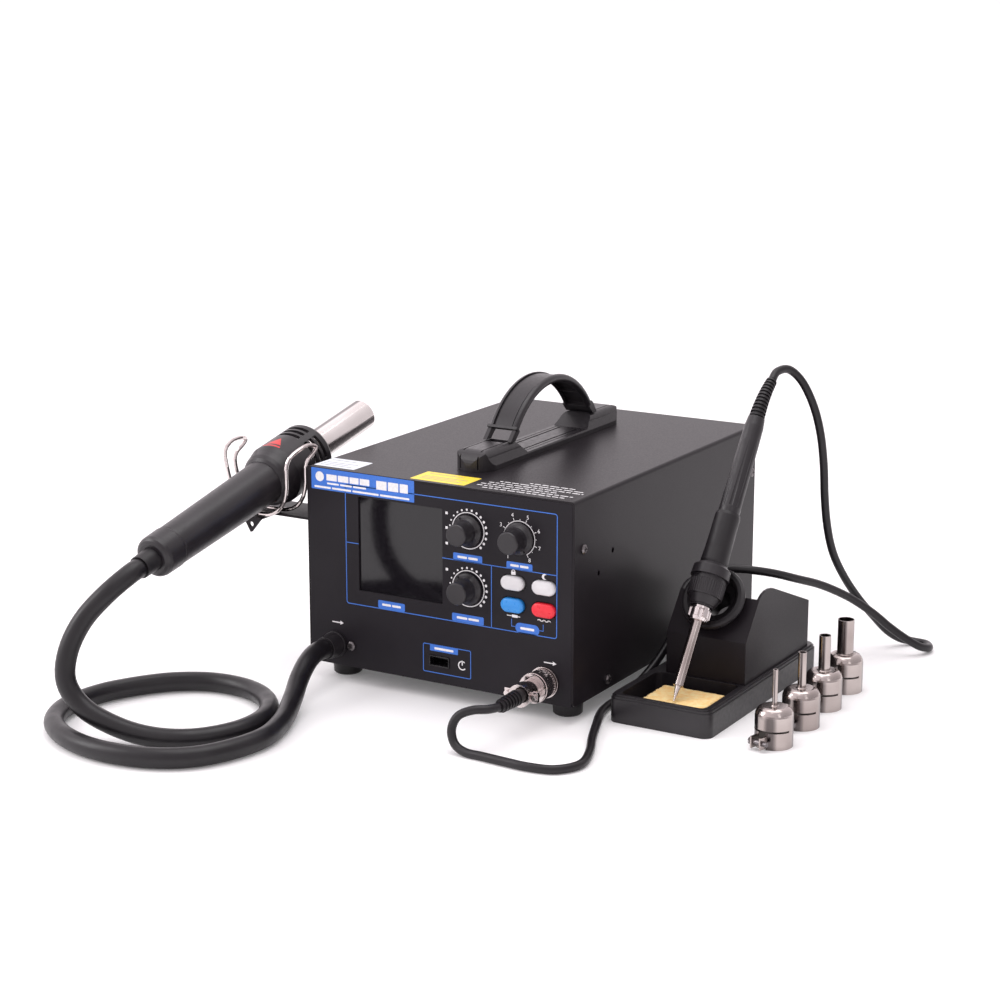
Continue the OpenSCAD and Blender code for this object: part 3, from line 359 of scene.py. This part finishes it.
# The record's material slots, then the gun's tube, the hose, the prints and the labels
LOOKS = {
    "case_black": powder_coat("case_look", (0.0105, 0.0082, 0.0105), (0.0118, 0.0095, 0.0118), rough=0.36),
    "panel_black": powder_coat("panel_look", (0.0115, 0.0095, 0.0125), (0.0135, 0.0115, 0.0148)),
    "black_plastic": moulded("plastic_look", (0.0125, 0.0105, 0.0128), (0.0165, 0.0142, 0.017), rough=0.36),
    "black_gloss": moulded("gloss_look", (0.008, 0.007, 0.0085), (0.011, 0.01, 0.0118), rough=0.24),
    "black_rubber": rubber("rubber_look", (0.0078, 0.0065, 0.008), (0.0115, 0.0098, 0.0118)),
    "steel_bright": metal("chrome_look", (0.56, 0.5, 0.49), (0.74, 0.68, 0.67), rough=0.11),
    # The nickel parts get painted reflection bands
    "nickel": metal("nickel_look", (0.35, 0.3, 0.285), (0.5, 0.445, 0.425), rough=0.17, reflection_bands=ROUND_REFLECTION_BANDS),
    "zinc_screw": metal("screw_look", (0.13, 0.12, 0.125), (0.24, 0.22, 0.225), rough=0.28),
    "tip_iron": metal("tip_look", (0.5, 0.44, 0.42), (0.66, 0.6, 0.57), rough=0.25),
    "brass": metal("brass_look", (0.55, 0.38, 0.14), (0.78, 0.6, 0.28), rough=0.25),
    "core_steel": metal("core_look", (0.16, 0.16, 0.17), (0.28, 0.28, 0.29), rough=0.5, stretch=(1, 1, 30)),
    "pump_alu": metal("pump_look", (0.42, 0.43, 0.45), (0.6, 0.61, 0.63), rough=0.45),
    "window_smoke": make_window_look(),
    "grey_plastic": moulded("grey_look", (0.6, 0.59, 0.6), (0.68, 0.67, 0.68), rough=0.34, edge=0.3),
    "blue_plastic": moulded("blue_look", (0.02, 0.22, 0.62), (0.03, 0.27, 0.7), rough=0.3, edge=0.3),
    "red_plastic": moulded("red_look", (0.72, 0.016, 0.03), (0.82, 0.025, 0.045), rough=0.3, edge=0.3),
    "board_green": make_board_look(),
    "copper_coil": moulded("coil_look", (0.38, 0.15, 0.03), (0.55, 0.25, 0.07), rough=0.5, grain=900),
    "silicone_tube": rubber("silicone_look", (0.6, 0.58, 0.53), (0.72, 0.7, 0.66), rough=0.35),
    "ceramic_core": moulded("ceramic_look", (0.66, 0.62, 0.54), (0.78, 0.74, 0.67), rough=0.75),
    "sponge_yellow": make_sponge_look(),
    "tube_steel": make_tube_look(),
    "hose_rubber": rubber("hose_look", (0.0075, 0.0062, 0.0078), (0.011, 0.0095, 0.0115), rough=0.36),
    "white_ink": ink("white_ink_look", (0.8, 0.79, 0.8)),
    "blue_ink": ink("blue_ink_look", (0.035, 0.16, 0.6)),
    "grey_ink": ink("grey_ink_look", (0.25, 0.25, 0.28)),
    "label_white": ink("label_white_look", (0.74, 0.78, 0.84), rough=0.4),
    "label_yellow": ink("label_yellow_look", (0.88, 0.66, 0.03), rough=0.4),
    "label_red": ink("label_red_look", (0.62, 0.04, 0.04), rough=0.4),
}


def finish_cad_nodes():
    """Every CAD node gets the finish of its slot, and the gun's tube the tint that heat gives it and its
    painted reflection bands.
    """
    for part in frame["record"]["subparts"]:
        node = nodes[part["node"]]
        node.data.materials.clear()
        node.data.materials.append(LOOKS[part["material_slot"]])
        node.data.polygons.foreach_set("use_smooth", [True] * len(node.data.polygons))
    nodes["gun_tube"].data.materials[0] = LOOKS["tube_steel"]


finish_cad_nodes()

# ---------------------------------------------------------------- cords

HOSE_D = 12
LEAD_D = 5.2
HOSE_SIDES = 24
LEAD_SIDES = 16
# The air gun's axis runs from its tail, rising to the back; the iron's runs from its tip
GUN_TAIL = Vector((-129, -107.4, 96))
GUN_TILT = math.radians(12)
IRON_TIP = Vector((143.6, 31.1, 15.1))
IRON_TILT = math.radians(54.5)
# The strain relief starts this far from the iron's tip, and bends evenly through this many degrees
RELIEF_FROM = 184
RELIEF_LEN = 29
RELIEF_BEND = 24
RELIEF_STEPS = 12
# The socket's place on the front panel, x and z, and how far the plug and its boot stand out of it
SOCKET = (74.7, 24.3)
PLUG_LEN = 53


def on_gun(s):
    """A point on the gun's axis, s millimetres from its tail."""
    return GUN_TAIL + s * Vector((0, math.cos(GUN_TILT), math.sin(GUN_TILT)))


def on_iron(s, side=0.0):
    """A point near the iron's axis, s millimetres from its tip and side millimetres below it."""
    c, d = math.cos(IRON_TILT), math.sin(IRON_TILT)
    return IRON_TIP + s * Vector((0, c, d)) + side * Vector((0, d, -c))


def relief_end(d):
    """A point d millimetres beyond the end of the iron's strain relief."""
    link = RELIEF_LEN / RELIEF_STEPS
    turns = [math.radians(RELIEF_BEND * (k - 0.5) / RELIEF_STEPS) for k in range(1, RELIEF_STEPS + 1)]
    end = math.radians(RELIEF_BEND)
    side = sum(link * math.sin(a) for a in turns) + d * math.sin(end)
    out = RELIEF_FROM + sum(link * math.cos(a) for a in turns) + d * math.cos(end)
    return on_iron(out, side)


# From the air outlet, round one and a half turns on the bench, and up to the gun's tail
HOSE_ROUTE = [
    (-74, -12, 24.2), (-74, -22, 24.2), (-72, -34, 21.5), (-68, -48, 16), (-61, -64, 10.5),
    (-53, -82, 7), (-46, -100, 6), (-41, -122, 6), (-45, -146, 6), (-56, -167, 6),
    (-75, -180, 6), (-99, -185, 6), (-123, -183, 6), (-146, -174, 6), (-164, -159, 6),
    (-174, -137, 6), (-173, -110, 6), (-164, -88, 6), (-149, -68, 6), (-128, -56, 6),
    (-104, -55, 6), (-84, -63, 6), (-68, -79, 6), (-60, -99, 6), (-62, -123, 6),
    (-75, -144, 6), (-96, -154, 6.5), (-117, -160, 11), (-137, -164, 20), (-148, -165, 34),
    (-149, -161, 51), (-144, -153, 68), (-135, -143, 82), on_gun(-22), on_gun(-12.4),
]
# From the iron down to the bench, back over the stand, along the case to the front, and into the plug
LEAD_ROUTE = [
    relief_end(0.4), relief_end(9), (147, 177.5, 189), (153, 185, 180.5), (159, 190, 165),
    (163, 193, 147), (165, 195, 127), (166, 196, 106), (168, 197, 87), (171, 201, 69),
    (176, 209, 52), (182.5, 219, 36), (189, 229, 23), (195, 238, 12), (201, 246, 5.4),
    (208, 252, 2.8), (217.5, 251, 2.7), (222.5, 242.5, 3.2), (219.5, 233.5, 6), (212, 227, 12),
    (203, 221, 20), (194, 213.5, 30), (183, 200, 42), (172, 181, 53), (163, 162, 60.5),
    (154, 148, 66), (144, 138, 69), (132.5, 131, 70), (121, 126, 68.2), (113, 121, 61.5),
    (109.5, 115.5, 50), (107.5, 109.5, 38), (105.5, 101, 27), (103, 88, 16.5), (100.5, 72, 8.5),
    (98, 55, 3.6), (97, 38, 2.6), (100, 22, 2.6), (107, 4, 2.6), (116, -18, 2.6),
    (126, -40, 2.6), (131, -60, 2.6), (123, -74, 2.6), (108, -78, 2.6), (92, -77.5, 2.6),
    (77, -76.5, 2.6), (66, -76, 2.7), (58, -74.3, 5.7), (54.4, -71.8, 13), (57, -69, 20.6),
    (64.5, -65.5, 24.3), (71.3, -60.5, 24.5), (SOCKET[0], -PLUG_LEN, SOCKET[1]),
]


def cord_path(route, steps=5):
    return smooth_route([at(*p) for p in route], steps)


def make_cords():
    hose_path = cord_path(HOSE_ROUTE)
    hose = tube("hose", hose_path, HOSE_D / 2 * MM, LOOKS["hose_rubber"], HOSE_SIDES)
    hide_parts("air_hose")
    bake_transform(hose)
    lead_path = cord_path(LEAD_ROUTE)
    lead = tube("lead", lead_path, LEAD_D / 2 * MM, LOOKS["hose_rubber"], LEAD_SIDES)
    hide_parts("iron_lead")
    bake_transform(lead)


make_cords()

# ---------------------------------------------------------------- prints and labels

# Shapes are outlines of (u, v) points in station millimetres: x and z on the front, x and y on the top.
# A print stands this far off its face, and ink on a printed plate or label twice as far.
PRINT_LIFT = 0.03
CASE_TOP = 135


def on_front(u, v):
    return at(u, -PRINT_LIFT, v)


def over_front(u, v):
    return at(u, -2 * PRINT_LIFT, v)


def on_top(u, v):
    return at(u, v, CASE_TOP + PRINT_LIFT)


def over_top(u, v):
    return at(u, v, CASE_TOP + 2 * PRINT_LIFT)


def arc(u, v, r, start, end, steps=12):
    """Points on a circle, from one angle to another, in degrees from +u towards +v."""
    turns = [math.radians(start + (end - start) * k / steps) for k in range(steps + 1)]
    return [(u + r * math.cos(t), v + r * math.sin(t)) for t in turns]


def bar(u0, v0, u1, v1, r=0.0):
    """A rectangle, with rounded corners if r isn't 0."""
    if not r:
        return [(u0, v0), (u1, v0), (u1, v1), (u0, v1)]
    return (arc(u1 - r, v0 + r, r, -90, 0, 5) + arc(u1 - r, v1 - r, r, 0, 90, 5)
            + arc(u0 + r, v1 - r, r, 90, 180, 5) + arc(u0 + r, v0 + r, r, 180, 270, 5))


def disc(u, v, r):
    return arc(u, v, r, 0, 345, 23)


def band(u, v, r, width, start, end, steps=40):
    """A thin curved band, part of a ring."""
    return arc(u, v, r + width / 2, start, end, steps) + arc(u, v, r - width / 2, end, start, steps)


def frame_line(u0, v0, u1, v1, r, width):
    """The four sides and corners of a thin rounded frame."""
    w = width / 2
    sides = [bar(u0 + r, v0 - w, u1 - r, v0 + w), bar(u0 + r, v1 - w, u1 - r, v1 + w),
             bar(u0 - w, v0 + r, u0 + w, v1 - r), bar(u1 - w, v0 + r, u1 + w, v1 - r)]
    corners = [(u1 - r, v0 + r, -90), (u1 - r, v1 - r, 0), (u0 + r, v1 - r, 90), (u0 + r, v0 + r, 180)]
    return sides + [band(u, v, r, width, turn, turn + 90, 6) for u, v, turn in corners]


def decal(name, outlines, place, look):
    """Flat printed shapes, laid on a face of the object."""
    work = bmesh.new()
    for outline in outlines:
        corners = [work.verts.new(place(u, v)) for u, v in outline]
        # Measured from the outline's own first point, so that thin rings are cut up exactly
        flat = [Vector((u - outline[0][0], v - outline[0][1], 0)) for u, v in outline]
        for a, b, c in tessellate_polygon([flat]):
            if (flat[b] - flat[a]).cross(flat[c] - flat[a]).z < 0:
                b, c = c, b
            work.faces.new((corners[a], corners[b], corners[c]))
    mesh = bpy.data.meshes.new(name)
    work.to_mesh(mesh)
    work.free()
    mesh.materials.append(LOOKS[look])
    add_object(name, mesh, "station")


def numeral(name, text, u, v):
    """A printed dial number on the front, as a flat mesh."""
    curve = bpy.data.curves.new(name, "FONT")
    curve.body = text
    curve.size = NUMBER_SIZE * MM
    curve.align_x, curve.align_y = "CENTER", "CENTER"
    holder = bpy.data.objects.new(name + "_text", curve)
    mesh = bpy.data.meshes.new_from_object(holder)
    bpy.data.objects.remove(holder)
    mesh.transform(Matrix.Translation(on_front(u, v)) @ Matrix.Rotation(math.radians(90), 4, "X"))
    mesh.name = name
    mesh.materials.clear()
    mesh.materials.append(LOOKS["white_ink"])
    add_object(name, mesh, "station")


# Dials: radii in millimetres, and turns in degrees from +u towards +v
KNOBS = {"temp_knob_upper": (22, 109), "temp_knob_lower": (22, 73.5), "air_knob": (57, 109)}
DIAL_R = 11
RING_FROM, RING_TO = -116, 196
DOT_R = 12.7
DOTS = 15
DOT_FROM, DOT_TO = 172, -47
AIR_FROM, AIR_TO = 237, -61
AIR_NUMBERS = 8
NUMBER_R = 14.2
NUMBER_SIZE = 3.4

# Rows are left, bottom, right and top. The plate, and blank bars in place of its lettering:
PLATE = (-90.2, 121.3, -15.6, 134.6)
PLATE_DISC = (-84, 129.4, 3.1)
PLATE_BARS = [
    (-79, 127.5, -71.4, 131.4), (-70.6, 127.5, -62.8, 131.4), (-62, 127.5, -55.4, 131.4),
    (-54.6, 127.5, -47.6, 131.4), (-78.6, 125.1, -70, 126.2), (-69, 125.1, -60.5, 126.2),
    (-59.5, 125.1, -50, 126.2), (-42.6, 126.2, -35.2, 131.6), (-34.2, 126.2, -26.8, 131.6),
    (-25.8, 126.2, -20, 131.6), (-88, 122.3, -76, 123.5), (-75, 122.3, -61, 123.5),
    (-60, 122.3, -41, 123.5), (-40, 122.3, -19, 123.5),
]
# The frame round the window and the controls, the lines that divide it, and the charging port's frame
CONTROLS = (-65.3, 51.8, 82.2, 126.6)
DIVIDERS = [(4, 89.75, 82.2, 90.25), (37.75, 51.8, 38.25, 90), (-65.3, 90.2, -56, 90.7)]
PORT_FRAME = (-10, 17.3, 23.5, 34.8)
# Tags in place of the names of the dials and the window, of the two power buttons, and of the port
TAGS = [(11.6, 89.9, 31.7, 94.5), (10.6, 52.2, 32.7, 57.1),
        (48.3, 90, 65.8, 94.3), (-42.3, 52.1, -23, 57.1)]
POWER_TAG = (54.4, 51.5, 70.6, 57.8)
POWER_LINES = [(51.6, 55.2, 52, 59.4), (51.6, 54.8, 54.8, 55.2),
               (73, 55.2, 73.4, 59), (70.4, 54.8, 73.4, 55.2)]
PORT_TAG = (-5.2, 30.9, 14.6, 34.6)
TAG_BARS = [(57.8, 53.9, 67.2, 55.4), (-2, 32, 11.4, 33.4)]
# Heights of the small blank marks beside the temperature dials
DIAL_MARKS = (118, 109, 99.5, 83.4)


def lock_sign(u, v):
    """A padlock: a body and a shackle."""
    return [bar(u - 1.5, v - 1.7, u + 1.5, v + 0.3, 0.3), band(u, v + 0.3, 1.05, 0.45, 0, 180, 10)]


def moon_sign(u, v):
    """A crescent; the inner arc ends where the outer one does."""
    outer = arc(u, v, 1.8, 46, 314, 24)
    inner = arc(u + 0.95, v, 1.3, 285, 75, 16)
    return [outer + inner]


def iron_sign(u, v):
    """A pen shape: a thin point, a grip and a lead."""
    return [bar(u - 4.4, v - 0.25, u - 1.2, v + 0.25), bar(u - 1, v - 0.85, u + 3, v + 0.85, 0.3),
            bar(u + 3.2, v - 0.25, u + 4.6, v + 0.25)]


def air_sign(u, v):
    """A wave of five short arcs, for hot air."""
    return [band(u - 3.4 + 3.2 * k, v - 0.9, 1.5, 0.5, 40, 140, 8) for k in range(3)] + [
        band(u - 1.8 + 3.2 * k, v + 1.3, 1.5, 0.5, 220, 320, 8) for k in range(2)]


def out_sign(u, v):
    """An arrow, for an outlet."""
    return [bar(u - 4, v - 0.35, u + 2, v + 0.35), [(u + 2, v - 1.3), (u + 4.4, v), (u + 2, v + 1.3)]]


def port_sign(u, v):
    """A hook, for the charging port."""
    return [band(u, v, 2.6, 0.7, 50, 320, 16), bar(u - 0.35, v, u + 0.35, v + 3.2, 0.3)]


def dial_point(knob, r, turn):
    """A point on a dial, at a turn in degrees."""
    u, v = KNOBS[knob]
    return u + r * math.cos(math.radians(turn)), v + r * math.sin(math.radians(turn))


def temp_dial(knob):
    """A ring, and dots that grow towards the hot end."""
    shapes = [band(*KNOBS[knob], DIAL_R, 0.55, RING_FROM, RING_TO, 60)]
    for k in range(DOTS):
        turn = DOT_FROM + (DOT_TO - DOT_FROM) * k / (DOTS - 1)
        shapes.append(disc(*dial_point(knob, DOT_R, turn), 0.5 + 0.035 * min(k, 10)))
    return shapes


def air_dial(knob):
    """A ring, with a long tick at each number and a short one between."""
    shapes = [band(*KNOBS[knob], DIAL_R - 0.6, 0.5, AIR_TO, AIR_FROM, 60)]
    for k in range(2 * AIR_NUMBERS - 1):
        turn = AIR_FROM + (AIR_TO - AIR_FROM) * k / (2 * AIR_NUMBERS - 2)
        r, length = (DIAL_R, 1.2) if k % 2 else (DIAL_R + 0.4, 2)
        shapes.append(band(*KNOBS[knob], r, length, turn - 1, turn + 1, 1))
    return shapes


def blank_words(u0, v0, u1, v1):
    """Two blank bars in place of a tag's words, for its left, bottom, right and top."""
    mid, half = (v0 + v1) / 2, (u1 - u0) / 2
    return [bar(u0 + 0.3 * half, mid - 0.7, u0 + half - 0.4, mid + 0.7, 0.5),
            bar(u0 + half + 0.4, mid - 0.7, u1 - 0.3 * half, mid + 0.7, 0.5)]


def white_shapes():
    """Blank bars on the plate and the tags, the dials, and the signs by the buttons and outlets."""
    shapes = [disc(*PLATE_DISC)] + [bar(*row, 0.35) for row in PLATE_BARS]
    for tag in TAGS:
        shapes += blank_words(*tag)
    shapes += [bar(*row, 0.5) for row in TAG_BARS]
    shapes += temp_dial("temp_knob_upper") + temp_dial("temp_knob_lower")
    shapes += [bar(6.3, v - 0.8, 8, v + 0.8, 0.3) for v in DIAL_MARKS] + air_dial("air_knob")
    shapes += lock_sign(53, 88.1) + moon_sign(74, 88.1) + iron_sign(53, 61.3) + air_sign(74, 61.2)
    return shapes + out_sign(-72.5, 38.2) + out_sign(77.8, 36.3) + port_sign(17.6, 24.8)


def blue_shapes():
    """The plate, the frames and their dividers, and the tags."""
    shapes = [bar(*PLATE, 0.5)] + frame_line(*CONTROLS, 1.6, 0.55)
    shapes += [bar(*row) for row in DIVIDERS] + frame_line(*PORT_FRAME, 1, 0.5)
    shapes += [bar(*row, 0.8) for row in TAGS] + [bar(*POWER_TAG, 3.1), bar(*PORT_TAG, 0.4)]
    return shapes + [bar(*row) for row in POWER_LINES]


def front_prints():
    decal("white_prints", white_shapes(), over_front, "white_ink")
    decal("blue_prints", blue_shapes(), on_front, "blue_ink")
    for k in range(AIR_NUMBERS):
        turn = AIR_FROM + (AIR_TO - AIR_FROM) * k / (AIR_NUMBERS - 1)
        numeral(f"air_number_{k + 1}", str(k + 1), *dial_point("air_knob", NUMBER_R, turn))


# Where each row of blank bars on the top starts and ends, and how far apart the rows and the bars are
TOP_ROWS = [(28, 84), (22, 86), (22, 74), (25, 88), (30, 86), (48, 78)]
ROW_START, ROW_STEP, ROW_H = 5.5, 4.4, 1.3
WORD_GAP = 1


def top_labels():
    """A white and a yellow label with blank lines, and rows of blank bars beside them."""
    decal("white_label", [bar(-91.5, 4.5, -62, 26, 0.8)], on_top, "label_white")
    decal("yellow_label", [bar(-21, 3.5, 17, 24.5, 0.8)], on_top, "label_yellow")
    lines = [bar(-89, y, -66 - 5 * (k % 2), y + 0.9) for k, y in enumerate((8, 11.5, 15, 21))]
    lines += [bar(-17, y, 13 - 6 * (k % 2), y + 0.8) for k, y in enumerate((8, 11, 14, 20))]
    decal("label_lines", lines, over_top, "grey_ink")
    rows = []
    for k, (start, end) in enumerate(TOP_ROWS):
        u, v = start, ROW_START + ROW_STEP * k
        while u < end:
            word = min(2.2 + 1.4 * ((u * 7 + k * 3) % 3), end - u + 0.6)
            rows.append(bar(u, v, u + word, v + ROW_H, 0.3))
            u += word + WORD_GAP
    decal("top_lines", rows, on_top, "white_ink")


front_prints()
top_labels()

# ---------------------------------------------------------------- air gun's mark

HEAD_SKIN = 19.5 + PRINT_LIFT
MARK_MIDDLE = 91  # degrees up from the right, seen from the tail
MARK_STEPS = 8


def on_head(s, degrees):
    """A point on the head of the air gun, s along its axis and turned up from the right."""
    turn = math.radians(degrees)
    up = Vector((0, -math.sin(GUN_TILT), math.cos(GUN_TILT)))
    place = on_gun(s) + HEAD_SKIN * (math.cos(turn) * Vector((1, 0, 0)) + math.sin(turn) * up)
    return at(*place)


def head_mark(name, start, end, half_turn):
    """A red print bent round the head; half_turn is its half width in degrees at each end of it."""
    n, row = MARK_STEPS, MARK_STEPS + 1
    verts = []
    for i in range(row):
        along = start + (end - start) * (i / n)
        half = half_turn[0] + (half_turn[1] - half_turn[0]) * (i / n)
        verts += [on_head(along, MARK_MIDDLE + half * (2 * k / n - 1)) for k in range(row)]
    faces = [(a, a + 1, a + 1 + row, a + row) for i in range(n) for a in range(i * row, i * row + n)]
    mesh_object(name, verts, faces, LOOKS["label_red"], "air_gun")


head_mark("head_triangle", 129, 137.5, (16, 0.4))
head_mark("head_bar", 126, 127.6, (19, 19))

# ---------------------------------------------------------------- sponge

SPONGE_CELLS = 40
EDGE_WAVES = (0.011, 0.014)  # of the pad's width and depth
CUT_EDGE, CUT_DROP = 0.03, 0.35  # the rounded edge's width, of the pad's, and its drop in millimetres
PIT_DEPTH = 0.096
DENT_DEPTH, DENT_R = 0.9, 2.2  # where the iron's tip rests


def sponge_point(low, high, fx, fy, from_edge):
    """A point on the pad's top, and the one under it, for fractions of its width and depth."""
    wave_x = EDGE_WAVES[0] * (1 + math.sin(31 * fy) * math.cos(13 * fy + 1))
    wave_y = EDGE_WAVES[1] * (1 + math.sin(37 * fx + 2) * math.cos(11 * fx))
    x = low.x + (high.x - low.x) * (wave_x + fx * (1 - 2 * wave_x))
    y = low.y + (high.y - low.y) * (wave_y + fy * (1 - 2 * wave_y))
    tip = at(*IRON_TIP)
    rounded = CUT_DROP * max(0, 1 - from_edge / CUT_EDGE) ** 2
    pits = PIT_DEPTH * (1 + math.sin(57 * fx + 9 * fy) * math.sin(61 * fy - 7 * fx))
    dent = DENT_DEPTH * math.exp(-((x - tip.x) ** 2 + (y - tip.y) ** 2) / (DENT_R * MM) ** 2)
    return (x, y, high.z - (rounded + pits + dent) * MM), (x, y, low.z)


def make_sponge():
    """A cut cellulose pad: wavy edges, a pitted top and a dent where the tip rests."""
    low, high = (Vector(c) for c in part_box("sponge"))
    n, row, top = SPONGE_CELLS, SPONGE_CELLS + 1, (SPONGE_CELLS + 1) ** 2
    pairs = [sponge_point(low, high, i / n, j / n, min(i, j, n - i, n - j) / n)
             for i in range(row) for j in range(row)]
    verts = [under for _, under in pairs] + [over for over, _ in pairs]
    faces = []
    for i in range(n):
        for j in range(n):
            a = i * row + j
            faces.append((a, a + 1, a + row + 1, a + row))
            faces.append((top + a, top + a + row, top + a + row + 1, top + a + 1))
    rim = ([i * row for i in range(row)] + [n * row + j for j in range(1, row)]
           + [i * row + n for i in range(n - 1, -1, -1)] + list(range(n - 1, 0, -1)))
    for k, a in enumerate(rim):
        b = rim[(k + 1) % len(rim)]
        faces.append((a, b, top + b, top + a))
    pad = mesh_object("sponge_pad", verts, faces, LOOKS["sponge_yellow"], "station")
    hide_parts("sponge")


make_sponge()

# ---------------------------------------------------------------- buttons

BUTTONS = {"lock_button": (53, 81.6, "grey_plastic"), "sleep_button": (74, 81.6, "grey_plastic"),
           "iron_power_button": (53, 68, "blue_plastic"), "air_power_button": (74, 68, "red_plastic")}
BUTTON_W, BUTTON_H = 15.5, 8.6
BUTTON_SIDES = 48
BUTTON_FOOT = -2.3  # how far the cap reaches back behind the panel
WALL_H = 1.4
EDGE_W, EDGE_H = 2, 1.4
EDGE_TURNS = (0.25, 0.55, 0.85, 1.15, 1.4)
# The cap's outline from its foot to its crown: how far in from its side, and how far out of the panel
CAP_OUTLINE = ([(0, BUTTON_FOOT), (0, WALL_H)]
               + [(EDGE_W * (1 - math.cos(t)), WALL_H + EDGE_H * math.sin(t)) for t in EDGE_TURNS]
               + [(EDGE_W + 0.4, 2.9), (3.2, 3.05), (BUTTON_H / 2 - 0.05, 3.15)])


def make_button(name, u, v, look):
    """An oval cap with a rounded edge and a low crown."""
    half, n = BUTTON_H / 2, BUTTON_SIDES
    verts, faces = [], []
    for inset, out in CAP_OUTLINE:
        for k in range(n):
            turn = 2 * math.pi * (k + 0.5) / n
            side = math.copysign(BUTTON_W / 2 - half, math.cos(turn))
            r = half - inset
            verts.append(at(u + side + r * math.cos(turn), -out, v + r * math.sin(turn)))
    for i in range(len(CAP_OUTLINE) - 1):
        for k in range(n):
            a, b = i * n + k, i * n + (k + 1) % n
            faces.append((a, b, b + n, a + n))
    faces.append(tuple(reversed(range(n))))
    faces.append(tuple((len(CAP_OUTLINE) - 1) * n + k for k in range(n)))
    cap = mesh_object(name + "_cap", verts, faces, LOOKS[look], name)
    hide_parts(name)


for button, (u, v, look) in BUTTONS.items():
    make_button(button, u, v, look)

# ---------------------------------------------------------------- floor and light

# The floor is wide enough to hide its own horizon from above, in metres
FLOOR_R = 60
FLOOR_GLOW = 0.1
STUDIO_TINT = (1.0, 0.93, 0.965, 1)
# The room is brighter on the left of the station than on its right
STUDIO_FADE = (1.55, 0.58)
# Place, aim and size in metres, and power in watts
LIGHTS = {
    "top_light": ((0.1, 0.1, 1.5), (0, 0, 0), (1.2, 1.2), 9),
    "left_light": ((-1.3, -0.9, 1.0), (0, 0, 0.06), (0.7, 1.1), 10),
    "right_light": ((1.5, -0.9, 0.9), (0, 0, 0.06), (0.4, 1.0), 1.3),
}


def area_light(name, place, target, size, power):
    data = bpy.data.lights.new(name, "AREA")
    data.shape = "RECTANGLE"
    data.size, data.size_y = size
    data.energy = power
    light = bpy.data.objects.new(name, data)
    bpy.context.scene.collection.objects.link(light)
    light.location = place
    light.rotation_euler = (Vector(target) - Vector(place)).to_track_quat("-Z", "Y").to_euler()


def make_floor():
    look = Look("floor_look", (0.9, 0.9, 0.9), 0.6, Specular_IOR_Level=0.2,
                Emission_Color=(1, 1, 1, 1), Emission_Strength=FLOOR_GLOW)
    look.tint(look.noise(2, 3), (0.89, 0.89, 0.89), (0.92, 0.92, 0.92))
    r = FLOOR_R
    floor = mesh_object("floor", [(-r, -r, 0), (r, -r, 0), (r, r, 0), (-r, r, 0)], [(0, 1, 2, 3)], look.mat)


def make_studio():
    """A soft pale room that fades from left to right, and three area lights."""
    world = bpy.data.worlds.new("studio")
    world.use_nodes = True
    tree = world.node_tree
    backdrop = tree.nodes["Background"]
    backdrop.inputs["Color"].default_value = STUDIO_TINT
    split = tree.nodes.new("ShaderNodeSeparateXYZ")
    fade = tree.nodes.new("ShaderNodeMapRange")
    for socket, value in zip(RANGE_SOCKETS, (-1, 1, *STUDIO_FADE)):
        fade.inputs[socket].default_value = value
    tree.links.new(tree.nodes.new("ShaderNodeTexCoord").outputs["Generated"], split.inputs["Vector"])
    tree.links.new(split.outputs["X"], fade.inputs["Value"])
    tree.links.new(fade.outputs["Result"], backdrop.inputs["Strength"])
    bpy.context.scene.world = world
    for name, settings in LIGHTS.items():
        area_light(name, *settings)


make_floor()
make_studio()
